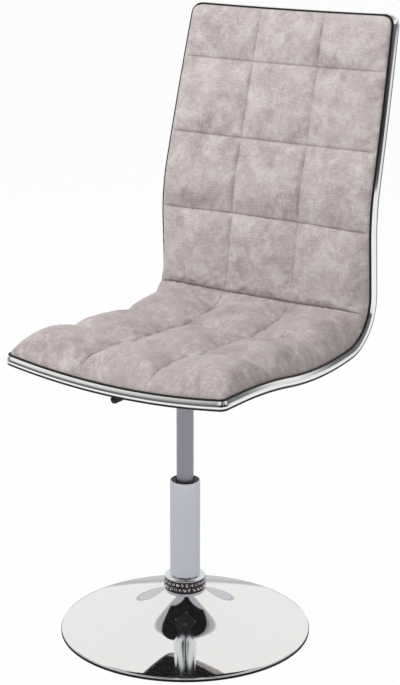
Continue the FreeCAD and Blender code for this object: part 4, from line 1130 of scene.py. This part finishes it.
class CHAIR_OT_base(bpy.types.Operator):
    """Spin the round base and lay its rubber ring"""

    bl_idname = "chair.base"
    bl_label = "Base"

    def execute(self, context):
        form = context.scene.chair_base
        radius, foot, top = high("base_disc").x, low("base_disc").z, high("base_disc").z
        wall, height = form.wall, form.rim_height
        neck_top, shoulder = Vector((form.neck, top)), Vector(form.shoulder)
        rim = Vector((radius - RIM_ROUND, height + RIM_CROWN))
        outer = arc(neck_top, shoulder, form.neck_curve, 28)
        outer += arc(rim, shoulder, form.brim_curve, 20)[::-1][1:]
        outer += [Vector(spot) for spot in (
            (radius - RIM_EDGE, height - RIM_EDGE), (radius, height - RIM_ROUND - 0.0001),
            (radius, foot), (radius - wall, foot))]
        under = shoulder - Vector((0.0, wall))
        inner = arc(Vector((radius - wall, height - wall)), under, form.brim_curve - wall, 12)
        inner += arc(neck_top - Vector((wall, 0.0)), under, form.neck_curve + wall, 16)[::-1][1:]
        made = turned("trumpet_base", (outer + inner)[::-1], finish("chrome"),
                      steps=BASE_STEPS, smooth=30)
        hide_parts("base_disc")
        ring_low, ring_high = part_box("base_edge_ring")
        inside, outside = ring_high.x - form.ring_width, radius + RING_LIP
        seat, wrap = ring_high.z - form.fit, ring_high.z + RING_WRAP
        outline = softened([
            (inside, ring_low.z, RING_ROUND), (outside, ring_low.z, RING_ROUND),
            (outside, wrap, 0.0004), (radius + form.fit, wrap, 0.0002),
            (radius + form.fit, seat, 0), (inside, seat, RING_ROUND)], 4)
        ring = turned("base_ring", outline, finish("black_rubber"), BASE_STEPS)
        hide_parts("base_edge_ring")
        return {"FINISHED"}


# Steps round the column, the tube's wall and the bush's bore
COLUMN_STEPS = 128
TUBE_WALL = 0.0015
BUSH_BORE = 0.01405
# The bush's rolled top: radius, height over its flange and rounding
BUSH_TOP = ((0.0205, 0.0007, 0.0006), (0.017, -0.0002, 0.0008), (BUSH_BORE, -0.003, 0.0006))


class CHAIR_OT_column(bpy.types.Operator):
    """Turn the column tube and the bush in its top"""

    bl_idname = "chair.column"
    bl_label = "Column"

    def execute(self, context):
        radius = high("column_tube").x
        bottom, top = low("column_tube").z, high("column_tube").z
        inner = radius - TUBE_WALL
        outline = softened([(inner, bottom, 0), (radius, bottom, 0.0003), (radius, top, 0.0006),
                            (inner, top, 0.0004)], 5)
        tube = turned("column_sleeve", outline, finish("satin"), COLUMN_STEPS)
        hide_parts("column_tube")
        foot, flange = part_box("guide_bush")
        outline = softened([
            (BUSH_BORE, foot.z, 0.0003), (flange.x, foot.z, 0.0003), (flange.x, flange.z, 0.0006),
            *((across, flange.z + rise, rounding) for across, rise, rounding in BUSH_TOP)], 5)
        bush = turned("sleeve_bush", outline, finish("moulded_black"),
                      COLUMN_STEPS)
        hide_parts("guide_bush")
        return {"FINISHED"}


# Half the thickness of the band behind the stones
BACKING_HALF = 0.0001


class CHAIR_OT_collar(bpy.types.Operator):
    """Turn the collar on the neck and the dark band behind its stones"""

    bl_idname = "chair.collar"
    bl_label = "Collar"

    def execute(self, context):
        form = context.scene.chair_base
        foot, top = low("neck_collar").z, high("neck_collar").z
        radius = high("neck_collar").x
        upper = radius - form.lip / 2
        bore = high("column_tube").x + form.fit
        outline = softened([
            (bore, foot, 0.0002), (radius, foot, 0.0012), (radius, foot + form.lip, 0.0013),
            (form.band, foot + form.lip, 0.0002), (form.band, top - form.lip, 0.0002),
            (upper, top - form.lip, 0.0010), (upper, top - form.lip / 2, 0.0008),
            (form.crown, top, 0.0014), (bore, top, 0.0004)], 5)
        collar = turned("collar_lips", outline, finish("satin"))
        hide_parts("neck_collar")
        backing = softened([(form.band + side * BACKING_HALF, height, 0) for side, height in (
            (-1, foot + form.lip), (1, foot + form.lip),
            (1, top - form.lip), (-1, top - form.lip))], 1)
        turned("stone_backing", backing, finish("collar_band"))
        return {"FINISHED"}


# Nodes of the frame that keep their CAD mesh, by finish
CARRIED_OVER = {
    "bright_steel": ("tube_floor_plate", "bearing_lower_washer", "bearing_upper_washer",
                     "bearing_rollers", "piston_rod", "rod_clip", "cylinder_gland",
                     "release_pin", "mounting_bolts", "tee_nuts", "lever_pivot_pin"),
    "powder_black": ("base_weight_plate", "seat_hub", "mounting_tray", "lever_rod",
                     "lever_bracket"),
    "moulded_black": ("bearing_cage", "bolt_spacers", "lever_grip"),
    "black_rubber": ("piston_seal", "bottom_buffer"),
    "cut_stone": ("collar_stones",), "cylinder_grey": ("gas_cylinder",),
    "plywood": ("seat_shell",),
}


class CHAIR_OT_finishes(bpy.types.Operator):
    """Finish the carried-over pieces of the frame"""

    bl_idname = "chair.finishes"
    bl_label = "Finishes of the Mechanism"

    def execute(self, context):
        for name, nodes in CARRIED_OVER.items():
            for node in nodes:
                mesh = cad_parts[node].data
                mesh.materials.clear()
                mesh.materials.append(finish(name))
        return {"FINISHED"}


# The studio's lamps: place, target, size and power
LAMPS = {
    "key_light": ((-0.7, -1.1, 2.15), (0.0, 0.2, 0.85), 1.1, 40.0),
    "fill_light": ((2.4, -1.4, 1.6), (0.0, 0.0, 0.5), 1.6, 14.0),
    "rim_light": ((-0.6, 2.4, 2.4), (0.0, 0.0, 0.6), 1.8, 26.0),
}
SENSOR_WIDTH = 36.0
FLOOR_HALF = 12.0
WHITE = (1.0, 1.0, 1.0)


class CHAIR_OT_studio(bpy.types.Operator):
    """Set up the camera, the pale floor and the lights"""

    bl_idname = "chair.studio"
    bl_label = "Studio"

    def execute(self, context):
        studio = context.scene.chair_studio
        scene = context.scene
        scene.view_settings.view_transform = "Standard"
        camera_data = bpy.data.cameras.new("camera")
        camera_data.lens = studio.lens
        camera_data.sensor_width = SENSOR_WIDTH
        camera_data.shift_x = studio.shift
        camera = bpy.data.objects.new("camera", camera_data)
        camera.location = studio.place
        azimuth = math.radians(studio.azimuth)
        camera.rotation_euler = (math.radians(90 - studio.elevation), 0.0, azimuth)
        scene.collection.objects.link(camera)
        scene.camera = camera
        toward = (math.sin(azimuth), -math.cos(azimuth), 0.0)
        self.floor(toward)
        self.room(scene, studio.ambient, toward)
        for name, settings in LAMPS.items():
            self.lamp(name, *settings)
        return {"FINISHED"}

    def lamp(self, name, place, target, size, power):
        """A soft square lamp that looks at a point and doesn't show in mirrors."""
        data = bpy.data.lights.new(name, "AREA")
        data.size = size
        data.energy = power
        lamp = bpy.data.objects.new(name, data)
        lamp.visible_glossy = False
        lamp.location = place
        heading = Vector(target) - Vector(place)
        lamp.rotation_euler = heading.to_track_quat("-Z", "Y").to_euler()
        bpy.context.scene.collection.objects.link(lamp)

    def floor(self, toward):
        """A floor that is white to the camera but for the chair's shadow.

        Mirrors see it grey near the chair and in the back, and white elsewhere.
        """
        mesh = bpy.data.meshes.new("floor")
        corners = ((-1, -1), (1, -1), (1, 1), (-1, 1))
        mesh.from_pydata([(x * FLOOR_HALF, y * FLOOR_HALF, 0) for x, y in corners], [],
                         [(0, 1, 2, 3)])
        floor = bpy.data.objects.new("floor", mesh)
        bpy.context.scene.collection.objects.link(floor)
        f = Finish("pale_floor")
        f.set(Base_Color=(0.86, 0.86, 0.86), Roughness=0.8)
        seen, gloss = f.ray("Is Camera Ray"), f.ray("Is Glossy Ray")
        through = f.ray("Is Transmission Ray")
        spot = f.add("ShaderNodeNewGeometry", output="Position")
        distance = f.add("ShaderNodeVectorMath", {"operation": "LENGTH"}, {0: spot}, output=1)
        front = f.along(spot, toward).between(-1.6, -1.1)
        grey = gloss * (1 - distance.between(1.0, 1.6) * front)
        glow = f.add("ShaderNodeEmission", {}, {"Color": f.blend(grey, WHITE, (0.58, 0.58, 0.62))})
        share = seen * 0.96 + gloss * 0.90 + through * 0.85
        lit = Value(f, f.shader.outputs[0])
        mixed = f.add("ShaderNodeMixShader", {}, {0: share, 1: lit, 2: glow})
        f.join(mixed, f.tree.nodes["Material Output"].inputs["Surface"])
        mesh.materials.append(f.material)

    def room(self, scene, ambient, toward):
        """A white room. Mirrors also see its ceiling, its grey walls and skirting, and the
        dark side behind the camera with two bright strips in it."""
        scene.world = bpy.data.worlds.new("room")
        f = Finish("room", scene.world)
        heading = f.add("ShaderNodeTexCoord", output="Generated")
        facing = f.along(heading, toward)
        beside = f.along(heading, (-toward[1], toward[0], 0.0))
        level = f.add("ShaderNodeSeparateXYZ", {}, {0: heading}, output=2)
        ceiling = level.between(0.79, 0.83)
        tone = f.blend(ceiling, (0.90, 0.90, 0.885), (0.44, 0.41, 0.455))
        front = facing.between(-0.5, -0.3)
        wall = front * level.between(0.02, 0.08) * (1 - level.between(0.42, 0.50))
        tone = f.blend(wall, tone, (0.16, 0.155, 0.17))
        skirting = (1 - front) * (1 - level.between(0.03, 0.06))
        tone = f.blend(skirting, tone, (0.52, 0.52, 0.54))
        strips = beside.between(-0.16, -0.13) * (1 - beside.between(-0.09, -0.06))
        strips = strips + beside.between(0.12, 0.16) * (1 - beside.between(0.24, 0.28))
        ahead = facing.between(0.55, 0.62) * level.between(0.04, 0.12) * (1 - ceiling)
        tone = f.blend(ahead * (1 - strips), tone, (0.02, 0.019, 0.024))
        seen, gloss = f.ray("Is Camera Ray"), f.ray("Is Glossy Ray")
        tone = f.blend(seen, f.blend(gloss, WHITE, tone), WHITE)
        f.join(tone, f.shader.inputs["Color"])
        f.join(1 - (1 - seen) * (1 - gloss) * (1 - ambient), f.shader.inputs["Strength"])


class CHAIR_PT_panel(bpy.types.Panel):
    """Sidebar panel of the chair"""

    bl_label = "Swivel Dining Chair"
    bl_idname = "CHAIR_PT_panel"
    bl_space_type = "VIEW_3D"
    bl_region_type = "UI"
    bl_category = "Chair"

    def draw(self, context):
        for operator in OPERATORS:
            self.layout.operator(operator.bl_idname)
        for name in GROUPS:
            box = self.layout.box()
            settings = getattr(context.scene, name)
            for field in settings.__annotations__:
                box.prop(settings, field)


GROUPS = {"chair_line": SeatLine, "chair_quilting": Quilting, "chair_base": BaseForm,
          "chair_finishes": Finishes, "chair_studio": Studio}
OPERATORS = (CHAIR_OT_studio, CHAIR_OT_seat_cushion, CHAIR_OT_back_cushion, CHAIR_OT_edge,
             CHAIR_OT_covers, CHAIR_OT_base, CHAIR_OT_column, CHAIR_OT_collar, CHAIR_OT_finishes)


def register():
    """Register the settings, operators and panel."""
    for kind in (*GROUPS.values(), *OPERATORS, CHAIR_PT_panel):
        bpy.utils.register_class(kind)
    for name, kind in GROUPS.items():
        setattr(bpy.types.Scene, name, PointerProperty(type=kind))


def unregister():
    """Take them away again."""
    for name in GROUPS:
        delattr(bpy.types.Scene, name)
    for kind in reversed((*GROUPS.values(), *OPERATORS, CHAIR_PT_panel)):
        bpy.utils.unregister_class(kind)


def main():
    """Build the dressed chair."""
    register()
    for operator in OPERATORS:
        group, name = operator.bl_idname.split(".")
        getattr(getattr(bpy.ops, group), name)()


if __name__ == "__main__":
    main()
